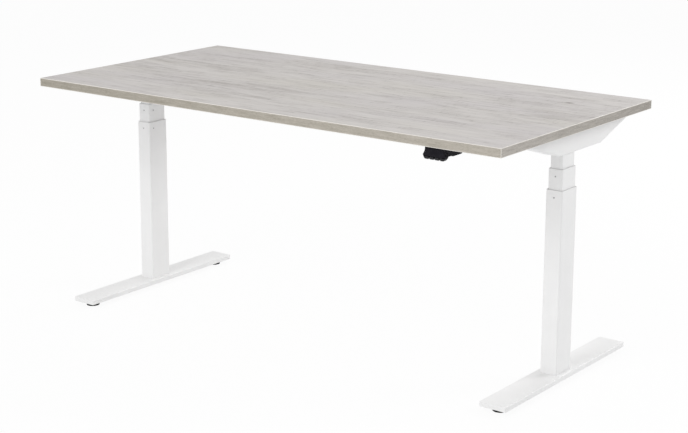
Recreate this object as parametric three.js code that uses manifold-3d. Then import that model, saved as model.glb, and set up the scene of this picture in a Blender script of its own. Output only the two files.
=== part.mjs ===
/**
 * Height-adjustable standing desk on two three-stage lifting columns.
 *
 * Millimetres. +X runs along the desk to the right, +Y to the back and +Z up. The origin is on
 * the floor under the middle of the desktop. Each leg is built round its own column axis and
 * then moved to its place. The desk is drawn at its sitting height.
 */
import * as THREE from 'three';
import { mergeVertices } from 'three/addons/utils/BufferGeometryUtils.js';
import Module from 'manifold-3d';

// ---- Driving dimensions ----

// Desktop
const deskLength = 1600;
const deskDepth = 800;
const deskThickness = 25;
const deskHeight = 725;
const edgeBandThickness = 2;

// Legs
const legInset = 60; // ends of the desktop to the column axes
const legSetback = 13; // column axes behind the middle of the desktop

// Feet
const footLength = 650;
const footWidth = 80;
const footHeight = 13.5;
const footSheet = 3;
const footCornerRadius = 4;
const footGroundGap = 14; // floor to the underside of the foot

// Levelling feet
const levellerInset = 40; // end of the foot to the stud's axis
const levellerPadRadius = 20;
const levellerPadHeight = 7;
const levellerPadBevel = 1.5;
const levellerNeckRadius = 10;
const levellerStudRadius = 4;
const levellerBushRadius = 9;

// Column tubes
const outerTubeWidth = 50;
const outerTubeDepth = 80;
const outerTubeRadius = 5;
const middleTubeRadius = 4.5;
const innerTubeRadius = 4;
const outerTubeWall = 2;
const middleTubeWall = 2;
const innerTubeWall = 2;
const slideGap = 1.5; // between one tube's inside and the next tube's outside
const middleTubeExposed = 57; // what shows above the outer tube at sitting height
const innerTubeExposed = 40; // what shows above the middle tube at sitting height
const leastExposed = 10; // what still shows when the column is fully down
const raisingTravel = 280; // of each stage, from sitting height to fully up
const stopClearance = 3; // left inside between the stages when fully down

// Glide collars, which line the mouth of the outer and the middle tube
const glideLength = 70;
const glideRecess = 1;
const glidePegRadius = 1.9;
const glidePegDepth = 20; // peg's axis below the mouth of its tube
const glidePegSetback = 20; // side peg's axis behind the tube's front wall
const glidePegSink = 0.3; // peg's end below the tube's outer face

// Column base
const basePlateThickness = 8;
const columnScrewSpacing = 52;
const columnScrewRadius = 4;
const columnScrewHeadRadius = 7;
const columnScrewHeadHeight = 5;
const columnScrewReach = 7; // shank's length inside the base plate

// Lifting spindles
const standSpindleRadius = 6;
const standSpindleFlangeRadius = 14;
const standSpindleFlangeThickness = 5;
const liftSpindleRadius = 10;
const liftSpindleBoreRadius = 7.4;
const liftSpindleFlangeRadius = 13.5;
const liftSpindleFlangeThickness = 4;
const spindleNutLength = 25; // narrow lower end of the lift spindle, which runs on the stand spindle
const spindleEngagement = 20; // least overlap that is left when fully up
const threadClearance = 0.4;
const bearingPlateThickness = 14;
const liftNutLength = 22;
const driveTubeWall = 2.4;

// Drive
const gearboxWidth = 42;
const gearboxDepth = 56;
const gearboxHeight = 44;
const gearboxSocketDepth = 15;
const motorRadius = 20.5;
const motorLength = 96;
const motorCapRadius = 17;
const motorCapLength = 8;

// Side brackets
const bracketWidth = 50;
const bracketHeight = 64;
const bracketSheet = 3;
const bracketLip = 14; // height of the short upright end walls
const bracketFlatFront = 56; // column axis to the front end of the level bottom
const bracketFrontRun = 168; // length of the rising front end
const bracketRearRun = 152; // length of the rising rear end
const bracketRearInset = 46; // rear edge of the desktop to the bracket's rear end
const bracketTabLength = 22;
const bracketTabWidth = 40;

// Cross rails
const railDepth = 40;
const railHeight = 30;
const railWall = 2;
const frontRailOffset = 118; // in front of the column axes
const rearRailInset = 165; // rear edge of the desktop to the rail's axis

// Desktop screws
const deskScrewRadius = 2;
const deskScrewHeadRadius = 5;
const deskScrewHeadHeight = 3;
const deskScrewReach = 17; // shank's length inside the desktop

// Control box
const controlBoxLength = 260;
const controlBoxDepth = 120;
const controlBoxHeight = 42;
const controlBoxWall = 2.5;
const controlBoxSocketWall = 14;
const controlBoxSocketDepth = 10;
const controlBoxInset = 650; // right end of the desktop to the middle of the box
const controlBoxY = 110;
const controlBoxTabLength = 18;
const controlBoxTabWidth = 30;
const controlBoardMargin = 5;
const controlBoardPostHeight = 8;
const controlBoardPostRadius = 4;
const lidThickness = 2.5;
const lidSlotLength = 60;
const lidSlotWidth = 3;
const lidSlotPitch = 9;
const lidSlotCount = 7;
const mainsInletWidth = 28;
const mainsInletHeight = 20;
const plugSocketWidth = 14;
const plugSocketHeight = 12;
const plugSocketPitch = 34;
const boardThickness = 1.6;

// Handset
const handsetInset = 197; // right end of the desktop to the handset's middle
const handsetFrontInset = 5;
const handsetBodyWidth = 55;
const handsetDepth = 92;
const handsetBodyDrop = 26.5; // underside of the desktop to the underside of the body
const handsetPlateThickness = 3.5;
const handsetPlateMargin = 1.5;
const handsetWall = 2;
const handsetNoseDepth = 15;
const handsetNoseDrop = 24;
const noseBulgeWidth = 66;
const noseBulgeDrop = 20; // underside of the desktop to where the nose is widest
const noseToeWidth = 63; // at the nose's underside
const keyDrop = 32.5; // underside of the desktop to the lowest point of the keys
const innerKeyWidth = 12.2;
const outerKeyWidth = 14;
const keyGap = 3.4;
const keySideGap = 0.5;
const keyStemWidth = 6;
const keyStemDepth = 6;
const keyFlangeThickness = 1.5;
const keyFlangeMargin = 1.5;
const keyTravel = 1.5;
const keyRounding = 4;
const handsetBoardPostRadius = 2.5;

// Clearances and smoothness
const seatGap = 0.3; // round a piece that is held inside another
const arcSteps = 4; // per quarter turn of a rounded corner
const roundSteps = 20; // round a full turn of a turned piece

// ---- Levels and places worked out from the driving dimensions ----

const deskUnderside = deskHeight - deskThickness;
const footTop = footGroundGap + footHeight;
const bracketBottom = deskUnderside - bracketHeight;
const middleTubeTop = bracketBottom - innerTubeExposed;
const outerTubeTop = middleTubeTop - middleTubeExposed;
const loweringTravel = innerTubeExposed - leastExposed;

const basePlateTop = footTop + basePlateThickness;
const standFlangeTop = basePlateTop + standSpindleFlangeThickness;
const middleTubeBottom = standFlangeTop + stopClearance + loweringTravel;
const bearingPlateTop = middleTubeBottom + bearingPlateThickness;
const liftFlangeTop = bearingPlateTop + seatGap + liftSpindleFlangeThickness;
const innerTubeBottom = liftFlangeTop + stopClearance + loweringTravel;
const liftNutTop = innerTubeBottom + liftNutLength;

const middleTubeWidth = outerTubeWidth - 2 * (outerTubeWall + slideGap);
const middleTubeDepth = outerTubeDepth - 2 * (outerTubeWall + slideGap);
const innerTubeWidth = middleTubeWidth - 2 * (middleTubeWall + slideGap);
const innerTubeDepth = middleTubeDepth - 2 * (middleTubeWall + slideGap);

const driveTubeBore = liftSpindleRadius + threadClearance;
const driveTubeRadius = driveTubeBore + driveTubeWall;
const gearboxBottom = bracketBottom + bracketSheet;

// Behind the column axes: the rear end of the bracket's level bottom, and the rear rail.
const bracketFlatRear =
  deskDepth / 2 - legSetback - bracketRearInset - bracketRearRun - bracketTabLength;
const rearRailOffset = deskDepth / 2 - legSetback - rearRailInset;

// Along the desktop
const legSpacing = deskLength - 2 * legInset;
const handsetX = deskLength / 2 - handsetInset;
const controlBoxX = deskLength / 2 - controlBoxInset;

// ---- Finishes ----

const whitePaint = new THREE.MeshStandardMaterial({ color: 0xf1f1ee, roughness: 0.45, metalness: 0 });
const laminate = new THREE.MeshStandardMaterial({ color: 0xc8c4c2, roughness: 0.55, metalness: 0 });
const laminateEdge = new THREE.MeshStandardMaterial({ color: 0xafa896, roughness: 0.6, metalness: 0 });
const blackPlastic = new THREE.MeshStandardMaterial({ color: 0x232328, roughness: 0.5, metalness: 0 });
const greyPlastic = new THREE.MeshStandardMaterial({ color: 0x8d8f92, roughness: 0.5, metalness: 0 });
const zincSteel = new THREE.MeshStandardMaterial({ color: 0xb9bcc0, roughness: 0.35, metalness: 1 });
const brassAlloy = new THREE.MeshStandardMaterial({ color: 0xb08d4a, roughness: 0.35, metalness: 1 });
const circuitBoard = new THREE.MeshStandardMaterial({ color: 0x2d5b3c, roughness: 0.5, metalness: 0 });

// ---- Solid modelling helpers ----

const wasm = await Module();
wasm.setup();

/** Turns a closed three.js geometry into a solid. */
function toSolid(geometry) {
  const bare = geometry.index ? geometry.toNonIndexed() : geometry;
  bare.deleteAttribute('normal');
  bare.deleteAttribute('uv');
  const merged = mergeVertices(bare, 1e-4);
  const solidMesh = new wasm.Mesh({
    numProp: 3,
    vertProperties: new Float32Array(merged.attributes.position.array),
    triVerts: new Uint32Array(merged.index.array),
  });
  return new wasm.Manifold(solidMesh);
}

/** Turns a solid into a named mesh. */
function toMesh(name, solid, material) {
  const { vertProperties, triVerts } = solid.getMesh();
  const geometry = new THREE.BufferGeometry();
  geometry.setAttribute('position', new THREE.BufferAttribute(new Float32Array(vertProperties), 3));
  geometry.setIndex(new THREE.BufferAttribute(new Uint32Array(triVerts), 1));
  geometry.computeVertexNormals();
  const mesh = new THREE.Mesh(geometry, material);
  mesh.name = name;
  return mesh;
}

/** Box between two opposite corners. */
function box([x0, y0, z0], [x1, y1, z1]) {
  const geometry = new THREE.BoxGeometry(x1 - x0, y1 - y0, z1 - z0);
  geometry.translate((x0 + x1) / 2, (y0 + y1) / 2, (z0 + z1) / 2);
  return toSolid(geometry);
}

/** Box centred on (x, y), between two levels. */
function block(width, depth, bottom, top, x = 0, y = 0) {
  return box([x - width / 2, y - depth / 2, bottom], [x + width / 2, y + depth / 2, top]);
}

/** Upright rod centred on (x, y), between two levels. */
function rod(radius, bottom, top, x = 0, y = 0, steps = roundSteps) {
  const geometry = new THREE.CylinderGeometry(radius, radius, top - bottom, steps);
  geometry.rotateX(Math.PI / 2);
  geometry.translate(x, y, (bottom + top) / 2);
  return toSolid(geometry);
}

/** Solid of revolution round the Z axis. The outline holds [radius, level] pairs from bottom to top. */
function turned(outline) {
  const points = outline.map(([radius, level]) => new THREE.Vector2(radius, level));
  const geometry = new THREE.LatheGeometry(points, roundSteps);
  geometry.rotateX(Math.PI / 2);
  return toSolid(geometry);
}

/** Rectangle with rounded corners, centred on the origin. */
function roundedRectangle(width, depth, radius) {
  const x = width / 2 - radius;
  const y = depth / 2 - radius;
  const shape = new THREE.Shape();
  shape.absarc(x, y, radius, 0, Math.PI / 2);
  shape.absarc(-x, y, radius, Math.PI / 2, Math.PI);
  shape.absarc(-x, -y, radius, Math.PI, 1.5 * Math.PI);
  shape.absarc(x, -y, radius, 1.5 * Math.PI, 2 * Math.PI);
  return shape;
}

/** Upright prism with rounded corners, between two levels. */
function roundedBlock(width, depth, radius, bottom, top) {
  const geometry = new THREE.ExtrudeGeometry(roundedRectangle(width, depth, radius), {
    depth: top - bottom,
    bevelEnabled: false,
    curveSegments: arcSteps,
  });
  geometry.translate(0, 0, bottom);
  return toSolid(geometry);
}

/** Upright rectangular tube with rounded corners, between two levels. */
function roundedTube(width, depth, radius, wall, bottom, top) {
  const inside = roundedBlock(width - 2 * wall, depth - 2 * wall, radius - wall, bottom - 1, top + 1);
  return roundedBlock(width, depth, radius, bottom, top).subtract(inside);
}

/** Prism along X, centred on X = 0, from an outline of [y, z] corners. */
function prismAlongX(corners, width) {
  const shape = new THREE.Shape(corners.map(([y, z]) => new THREE.Vector2(y, z)));
  const geometry = new THREE.ExtrudeGeometry(shape, { depth: width, bevelEnabled: false });
  geometry.translate(0, 0, -width / 2);
  geometry.rotateZ(Math.PI / 2);
  geometry.rotateY(Math.PI / 2);
  return toSolid(geometry);
}

/** Prism along Y from a shape drawn in X and Z, between y = front and y = rear. */
function prismAlongY(shape, front, rear) {
  const geometry = new THREE.ExtrudeGeometry(shape, {
    depth: rear - front,
    bevelEnabled: false,
    curveSegments: arcSteps,
  });
  geometry.rotateX(Math.PI / 2);
  geometry.translate(0, rear, 0);
  return toSolid(geometry);
}

/** Removes every tool from a solid. */
function cut(solid, tools) {
  return tools.reduce((rest, tool) => rest.subtract(tool), solid);
}

/** Joins all solids into one. */
function join(solids) {
  return solids.reduce((whole, solid) => whole.add(solid));
}

// ---- Leg ----

const levellerPlaces = [
  ['front', -(footLength / 2 - levellerInset)],
  ['rear', footLength / 2 - levellerInset],
];
const columnScrewPlaces = [
  ['front', -columnScrewSpacing / 2],
  ['rear', columnScrewSpacing / 2],
];

/** Shallow sheet-steel pan, open below, with a threaded bush for each levelling foot. */
function footSolid() {
  const sheetUnderside = footTop - footSheet;
  const shell = roundedBlock(footWidth, footLength, footCornerRadius, footGroundGap, footTop);
  const pocketRadius = Math.max(footCornerRadius - footSheet, 0.5);
  const pocket = roundedBlock(
    footWidth - 2 * footSheet,
    footLength - 2 * footSheet,
    pocketRadius,
    footGroundGap - 1,
    sheetUnderside,
  );
  const bushes = levellerPlaces.map(([, y]) => rod(levellerBushRadius, footGroundGap, footTop - 1, 0, y));
  const studHoles = levellerPlaces.map(([, y]) =>
    rod(levellerStudRadius + seatGap, footGroundGap - 1, sheetUnderside, 0, y),
  );
  const screwHoles = columnScrewPlaces.map(([, y]) =>
    rod(columnScrewRadius + seatGap, sheetUnderside - 1, footTop + 1, 0, y),
  );
  return cut(join([shell.subtract(pocket), ...bushes]), [...studHoles, ...screwHoles]);
}

/** Plastic pad on a threaded stud, screwed home under the foot. */
function levellerSolid() {
  const neckTop = footGroundGap - seatGap;
  const studTop = footTop - footSheet - seatGap;
  return turned([
    [0, 0],
    [levellerPadRadius - levellerPadBevel, 0],
    [levellerPadRadius, levellerPadBevel],
    [levellerPadRadius, levellerPadHeight - levellerPadBevel],
    [levellerPadRadius - levellerPadBevel, levellerPadHeight],
    [levellerNeckRadius, levellerPadHeight],
    [levellerNeckRadius, neckTop],
    [levellerStudRadius, neckTop],
    [levellerStudRadius, studTop],
    [0, studTop],
  ]);
}

/** Steel plate inside the foot of the outer tube, which the column screws and the stand spindle hold. */
function basePlateSolid() {
  const inset = 2 * (outerTubeWall + seatGap);
  const plate = roundedBlock(
    outerTubeWidth - inset,
    outerTubeDepth - inset,
    outerTubeRadius - outerTubeWall,
    footTop,
    basePlateTop,
  );
  const holes = columnScrewPlaces.map(([, y]) =>
    rod(columnScrewRadius + seatGap, footTop - 1, basePlateTop + 1, 0, y),
  );
  return cut(plate, holes);
}

/** Screw that comes up through the foot into the base plate. */
function columnScrewSolid(y) {
  const headTop = footTop - footSheet;
  const head = rod(columnScrewHeadRadius, headTop - columnScrewHeadHeight, headTop, 0, y);
  const shank = rod(columnScrewRadius, headTop - 1, footTop + columnScrewReach, 0, y);
  return head.add(shank);
}

/** Round hole or peg across the front wall and the inward wall of a column tube. */
function pegPair(width, depth, wallOutside, wallInside, radius, level, inward) {
  const geometryY = new THREE.CylinderGeometry(radius, radius, wallOutside - wallInside, 12);
  const geometryX = geometryY.clone();
  geometryX.rotateZ(Math.PI / 2);
  const reach = (wallOutside + wallInside) / 2;
  geometryY.translate(0, -(depth / 2 + reach), level);
  geometryX.translate(inward * (width / 2 + reach), glidePegSetback - depth / 2, level);
  return [toSolid(geometryY), toSolid(geometryX)];
}

/** Tube of a column stage with peg holes for its glide collar. */
function glidedTubeSolid(width, depth, radius, wall, bottom, top, inward) {
  const holes = pegPair(width, depth, 1, -wall - 1, glidePegRadius + seatGap, top - glidePegDepth, inward);
  return cut(roundedTube(width, depth, radius, wall, bottom, top), holes);
}

/** Plastic collar that lines the mouth of a tube, held by a peg in the front and the inward wall. */
function glideSolid(width, depth, radius, wall, top, innerRadius, inward) {
  const outerInset = 2 * (wall + seatGap);
  const innerInset = 2 * (wall + slideGap - seatGap);
  const bottom = top - glideRecess - glideLength;
  const collar = roundedBlock(
    width - outerInset,
    depth - outerInset,
    radius - wall,
    bottom,
    top - glideRecess,
  );
  const passage = roundedBlock(
    width - innerInset,
    depth - innerInset,
    innerRadius + seatGap,
    bottom - 1,
    top,
  );
  const pegs = pegPair(
    width,
    depth,
    -glidePegSink,
    -(wall + slideGap / 2),
    glidePegRadius,
    top - glidePegDepth,
    inward,
  );
  return join([collar.subtract(passage), ...pegs]);
}

/** Threaded steel rod that stands on the base plate. */
function standSpindleSolid() {
  const top = middleTubeBottom + raisingTravel + spindleNutLength + spindleEngagement;
  return turned([
    [0, basePlateTop],
    [standSpindleFlangeRadius, basePlateTop],
    [standSpindleFlangeRadius, standFlangeTop],
    [standSpindleRadius, standFlangeTop],
    [standSpindleRadius, top],
    [0, top],
  ]);
}

/** Plate in the lower end of the middle tube, which carries the lift spindle. */
function bearingPlateSolid() {
  const inset = 2 * (middleTubeWall + seatGap);
  const plate = roundedBlock(
    middleTubeWidth - inset,
    middleTubeDepth - inset,
    middleTubeRadius - middleTubeWall,
    middleTubeBottom,
    bearingPlateTop,
  );
  return plate.subtract(rod(liftSpindleRadius + threadClearance, middleTubeBottom - 1, bearingPlateTop + 1));
}

/** Hollow spindle that turns: it climbs the stand spindle, and the lift nut climbs it. */
function liftSpindleSolid() {
  const top = liftNutTop + raisingTravel + spindleEngagement;
  const nutTop = middleTubeBottom + spindleNutLength;
  const body = turned([
    [0, middleTubeBottom],
    [liftSpindleRadius, middleTubeBottom],
    [liftSpindleRadius, bearingPlateTop + seatGap],
    [liftSpindleFlangeRadius, bearingPlateTop + seatGap],
    [liftSpindleFlangeRadius, liftFlangeTop],
    [liftSpindleRadius, liftFlangeTop],
    [liftSpindleRadius, top],
    [0, top],
  ]);
  const thread = rod(standSpindleRadius + threadClearance, middleTubeBottom - 1, top + 1);
  const bore = rod(liftSpindleBoreRadius, nutTop, top + 1);
  return cut(body, [thread, bore]);
}

/** Block in the lower end of the inner tube, threaded for the lift spindle. */
function liftNutSolid() {
  const inset = 2 * (innerTubeWall + seatGap);
  const nut = roundedBlock(
    innerTubeWidth - inset,
    innerTubeDepth - inset,
    innerTubeRadius - innerTubeWall,
    innerTubeBottom,
    liftNutTop,
  );
  return nut.subtract(rod(liftSpindleRadius + threadClearance, innerTubeBottom - 1, liftNutTop + 1));
}

/** Tube that hangs from the gearbox and turns the lift spindle, which slides inside it. */
function driveTubeSolid() {
  const bottom = liftNutTop + seatGap;
  const top = gearboxBottom + gearboxSocketDepth - seatGap;
  return rod(driveTubeRadius, bottom, top).subtract(rod(driveTubeBore, bottom - 1, top + 1));
}

/** Worm gearbox that sits on the bracket's bottom over the column. */
function gearboxSolid() {
  const body = roundedBlock(gearboxWidth, gearboxDepth, 3, gearboxBottom, gearboxBottom + gearboxHeight);
  const socket = rod(driveTubeRadius + seatGap, gearboxBottom - 1, gearboxBottom + gearboxSocketDepth);
  return body.subtract(socket);
}

/** Motor that lies along the bracket behind the gearbox. */
function motorSolid() {
  const body = turned([
    [0, 0],
    [motorRadius, 0],
    [motorRadius, motorLength - motorCapLength],
    [motorCapRadius, motorLength - motorCapLength],
    [motorCapRadius, motorLength],
    [0, motorLength],
  ]);
  return body.rotate([-90, 0, 0]).translate([0, gearboxDepth / 2, gearboxBottom + gearboxHeight / 2]);
}

/** Folded steel channel, open above, that carries the desktop on its column. */
function bracketSolid() {
  const frontEnd = -(bracketFlatFront + bracketFrontRun);
  const rearEnd = bracketFlatRear + bracketRearRun;
  const lipBottom = deskUnderside - bracketLip;
  const outline = (sheet, top) => [
    [frontEnd + sheet, top],
    [frontEnd + sheet, lipBottom + sheet],
    [-bracketFlatFront, bracketBottom + sheet],
    [bracketFlatRear, bracketBottom + sheet],
    [rearEnd - sheet, lipBottom + sheet],
    [rearEnd - sheet, top],
  ];
  const channel = prismAlongX(outline(0, deskUnderside), bracketWidth);
  const inside = prismAlongX(outline(bracketSheet, deskUnderside + 1), bracketWidth - 2 * bracketSheet);
  const tabs = box(
    [-bracketTabWidth / 2, frontEnd - bracketTabLength, deskUnderside - bracketSheet],
    [bracketTabWidth / 2, frontEnd + 1, deskUnderside],
  ).add(
    box(
      [-bracketTabWidth / 2, rearEnd - 1, deskUnderside - bracketSheet],
      [bracketTabWidth / 2, rearEnd + bracketTabLength, deskUnderside],
    ),
  );
  const driveHole = rod(driveTubeRadius + seatGap, bracketBottom - 1, bracketBottom + bracketSheet + 1);
  const screwHoles = deskScrewPlaces().map(([, y]) =>
    rod(deskScrewRadius + seatGap, deskUnderside - bracketSheet - 1, deskUnderside + 1, 0, y),
  );
  return cut(channel.subtract(inside).add(tabs), [driveHole, ...screwHoles]);
}

/** Where the desktop screws go through the bracket's tabs, from the column axis. */
function deskScrewPlaces() {
  const middleOfTab = bracketTabLength / 2;
  return [
    ['front', -(bracketFlatFront + bracketFrontRun + middleOfTab)],
    ['rear', bracketFlatRear + bracketRearRun + middleOfTab],
  ];
}

/** Pan-head screw up through a bracket's tab into the desktop. */
function deskScrewSolid(y) {
  const tabUnderside = deskUnderside - bracketSheet;
  const head = rod(deskScrewHeadRadius, tabUnderside - deskScrewHeadHeight, tabUnderside, 0, y, 16);
  const shank = rod(deskScrewRadius, tabUnderside - 1, deskUnderside + deskScrewReach, 0, y, 16);
  return head.add(shank);
}

/** Whole leg. side is -1 on the left and 1 on the right. */
function buildLeg(side) {
  const prefix = side < 0 ? 'left' : 'right';
  const inward = -side;
  const leg = new THREE.Group();
  const place = (name, solid, material) => leg.add(toMesh(`${prefix}_${name}`, solid, material));

  place('foot', footSolid(), whitePaint);
  for (const [end, y] of levellerPlaces) {
    place(`levelling_foot_${end}`, levellerSolid().translate([0, y, 0]), blackPlastic);
  }
  place('base_plate', basePlateSolid(), zincSteel);
  for (const [end, y] of columnScrewPlaces) {
    place(`column_screw_${end}`, columnScrewSolid(y), zincSteel);
  }
  place(
    'outer_tube',
    glidedTubeSolid(
      outerTubeWidth, outerTubeDepth, outerTubeRadius, outerTubeWall, footTop, outerTubeTop, inward,
    ),
    whitePaint,
  );
  place(
    'outer_glide',
    glideSolid(
      outerTubeWidth, outerTubeDepth, outerTubeRadius, outerTubeWall, outerTubeTop, middleTubeRadius, inward,
    ),
    greyPlastic,
  );
  place('stand_spindle', standSpindleSolid(), zincSteel);

  place(
    'middle_tube',
    glidedTubeSolid(
      middleTubeWidth, middleTubeDepth, middleTubeRadius, middleTubeWall,
      middleTubeBottom, middleTubeTop, inward,
    ),
    whitePaint,
  );
  place(
    'middle_glide',
    glideSolid(
      middleTubeWidth, middleTubeDepth, middleTubeRadius, middleTubeWall,
      middleTubeTop, innerTubeRadius, inward,
    ),
    greyPlastic,
  );
  place('bearing_plate', bearingPlateSolid(), zincSteel);
  place('lift_spindle', liftSpindleSolid(), zincSteel);

  place(
    'inner_tube',
    roundedTube(
      innerTubeWidth, innerTubeDepth, innerTubeRadius, innerTubeWall, innerTubeBottom, bracketBottom,
    ),
    whitePaint,
  );
  place('lift_nut', liftNutSolid(), brassAlloy);
  place('drive_tube', driveTubeSolid(), zincSteel);
  place('gearbox', gearboxSolid(), blackPlastic);
  place('motor', motorSolid(), zincSteel);
  place('bracket', bracketSolid(), whitePaint);
  for (const [end, y] of deskScrewPlaces()) {
    place(`desk_screw_${end}`, deskScrewSolid(y), zincSteel);
  }

  leg.position.set((side * legSpacing) / 2, legSetback, 0);
  return leg;
}

// ---- Desktop and frame ----

/** Chipboard panel with a pilot hole for each desktop screw. */
function panelSolid() {
  const panel = block(
    deskLength - 2 * edgeBandThickness,
    deskDepth - 2 * edgeBandThickness,
    deskUnderside,
    deskHeight,
  );
  const holes = [-1, 1].flatMap((side) =>
    deskScrewPlaces().map(([, y]) =>
      rod(
        deskScrewRadius + seatGap,
        deskUnderside - 1,
        deskUnderside + deskScrewReach + 1,
        (side * legSpacing) / 2,
        legSetback + y,
        16,
      ),
    ),
  );
  return cut(panel, holes);
}

/** Edge band: the long ones cover the ends of the short ones. */
function edgeBandSolid(alongX, sign) {
  const length = alongX ? deskLength : edgeBandThickness;
  const depth = alongX ? edgeBandThickness : deskDepth - 2 * edgeBandThickness;
  const x = alongX ? 0 : (sign * (deskLength - edgeBandThickness)) / 2;
  const y = alongX ? (sign * (deskDepth - edgeBandThickness)) / 2 : 0;
  return block(length, depth, deskUnderside, deskHeight, x, y);
}

/** Steel rectangular tube between the two brackets. */
function railSolid(y) {
  const length = legSpacing - bracketWidth;
  const bottom = deskUnderside - railHeight;
  const outside = block(length, railDepth, bottom, deskUnderside, 0, y);
  const inside = block(
    length + 2,
    railDepth - 2 * railWall,
    bottom + railWall,
    deskUnderside - railWall,
    0,
    y,
  );
  return outside.subtract(inside);
}

function buildDesktop() {
  const group = new THREE.Group();
  group.add(
    toMesh('desktop_panel', panelSolid(), laminate),
    toMesh('edge_band_front', edgeBandSolid(true, -1), laminateEdge),
    toMesh('edge_band_rear', edgeBandSolid(true, 1), laminateEdge),
    toMesh('edge_band_left', edgeBandSolid(false, -1), laminateEdge),
    toMesh('edge_band_right', edgeBandSolid(false, 1), laminateEdge),
    toMesh('cross_rail_front', railSolid(legSetback - frontRailOffset), whitePaint),
    toMesh('cross_rail_rear', railSolid(legSetback + rearRailOffset), whitePaint),
  );
  return group;
}

// ---- Control box ----

const controlBoxBottom = deskUnderside - controlBoxHeight;
const controlBoardTop = deskUnderside - controlBoxWall - controlBoardPostHeight;
const socketLevel = (controlBoxBottom + deskUnderside) / 2;

/** Centre and size, along the rear wall, of the mains inlet and the three plug sockets. */
const socketPlaces = [
  [-1.5 * plugSocketPitch, mainsInletWidth, mainsInletHeight],
  [0, plugSocketWidth, plugSocketHeight],
  [plugSocketPitch, plugSocketWidth, plugSocketHeight],
  [2 * plugSocketPitch, plugSocketWidth, plugSocketHeight],
];

/** Plastic case, open below, with two screw tabs, board posts and a thick rear wall for the sockets. */
function controlBoxHousingSolid() {
  const shell = block(controlBoxLength, controlBoxDepth, controlBoxBottom, deskUnderside);
  const inside = box(
    [-controlBoxLength / 2 + controlBoxWall, -controlBoxDepth / 2 + controlBoxWall, controlBoxBottom - 1],
    [
      controlBoxLength / 2 - controlBoxWall,
      controlBoxDepth / 2 - controlBoxSocketWall,
      deskUnderside - controlBoxWall,
    ],
  );
  const tabs = block(
    controlBoxLength + 2 * controlBoxTabLength,
    controlBoxTabWidth,
    deskUnderside - controlBoxWall,
    deskUnderside,
  );
  const posts = controlBoardPostPlaces().map(([x, y]) =>
    rod(controlBoardPostRadius, controlBoardTop, deskUnderside - 1, x, y, 12),
  );
  const sockets = socketPlaces.map(([x, width, height]) =>
    box(
      [x - width / 2, controlBoxDepth / 2 - controlBoxSocketDepth, socketLevel - height / 2],
      [x + width / 2, controlBoxDepth / 2 + 1, socketLevel + height / 2],
    ),
  );
  return cut(join([shell.subtract(inside), tabs, ...posts]), sockets);
}

/** Inside edges of the room that the control board fits in, as [low, high] along X and Y. */
function controlBoardEdges() {
  const margin = controlBoxWall + controlBoardMargin;
  return {
    x: controlBoxLength / 2 - margin,
    front: -controlBoxDepth / 2 + margin,
    rear: controlBoxDepth / 2 - controlBoxSocketWall - controlBoardMargin,
  };
}

function controlBoardPostPlaces() {
  const { x, front, rear } = controlBoardEdges();
  const inset = controlBoardPostRadius + 2;
  return [-1, 1].flatMap((sign) => [
    [sign * (x - inset), front + inset],
    [sign * (x - inset), rear - inset],
  ]);
}

/** Circuit board screwed to the posts. */
function controlBoardSolid() {
  const { x, front, rear } = controlBoardEdges();
  return box([-x, front, controlBoardTop - boardThickness], [x, rear, controlBoardTop]);
}

/** Plate that closes the control box from below, with cooling slots. */
function controlBoxLidSolid() {
  const plate = block(controlBoxLength, controlBoxDepth, controlBoxBottom - lidThickness, controlBoxBottom);
  const slots = Array.from({ length: lidSlotCount }, (_, index) =>
    block(
      lidSlotWidth,
      lidSlotLength,
      controlBoxBottom - lidThickness - 1,
      controlBoxBottom + 1,
      (index - (lidSlotCount - 1) / 2) * lidSlotPitch,
      0,
    ),
  );
  return cut(plate, slots);
}

function buildControlBox() {
  const group = new THREE.Group();
  group.add(
    toMesh('control_box_housing', controlBoxHousingSolid(), blackPlastic),
    toMesh('control_box_board', controlBoardSolid(), circuitBoard),
    toMesh('control_box_lid', controlBoxLidSolid(), blackPlastic),
  );
  group.position.set(controlBoxX, controlBoxY, 0);
  return group;
}

// ---- Handset ----
// Drawn with x = 0 on its middle and y = 0 on its front face.

const handsetTop = deskUnderside - handsetPlateThickness;
const handsetFloor = deskUnderside - handsetBodyDrop + handsetWall;
const noseBottom = deskUnderside - handsetNoseDrop;
const keyBottom = deskUnderside - keyDrop;
const keyStemTop = noseBottom + handsetWall + keyFlangeThickness + seatGap;
const handsetBoardBottom = Math.max(keyStemTop + keyTravel, handsetFloor) + 1;

/** Left edge and width of each key, from left to right, across the width of the nose. */
function keyPlaces() {
  const widths = [outerKeyWidth, innerKeyWidth, innerKeyWidth, outerKeyWidth];
  const total = widths.reduce((sum, width) => sum + width + keyGap, -keyGap);
  let left = -total / 2;
  return widths.map((width) => {
    const place = { left, width };
    left += width + keyGap;
    return place;
  });
}

/** Front outline of the nose: narrow under the mounting plate, then swelling towards the keys. */
function noseShape(inset) {
  const top = handsetTop + (inset > 0 ? 1 : 0);
  const neck = handsetBodyWidth / 2 - inset;
  const bulge = noseBulgeWidth / 2 - inset;
  const widest = deskUnderside - noseBulgeDrop;
  const toe = noseToeWidth / 2 - inset;
  const bottom = noseBottom + inset;
  const shape = new THREE.Shape();
  shape.moveTo(-neck, top);
  shape.quadraticCurveTo(-neck, (top + widest) / 2, -bulge, widest);
  shape.lineTo(-toe, bottom);
  shape.lineTo(toe, bottom);
  shape.lineTo(bulge, widest);
  shape.quadraticCurveTo(neck, (top + widest) / 2, neck, top);
  return shape;
}

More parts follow.
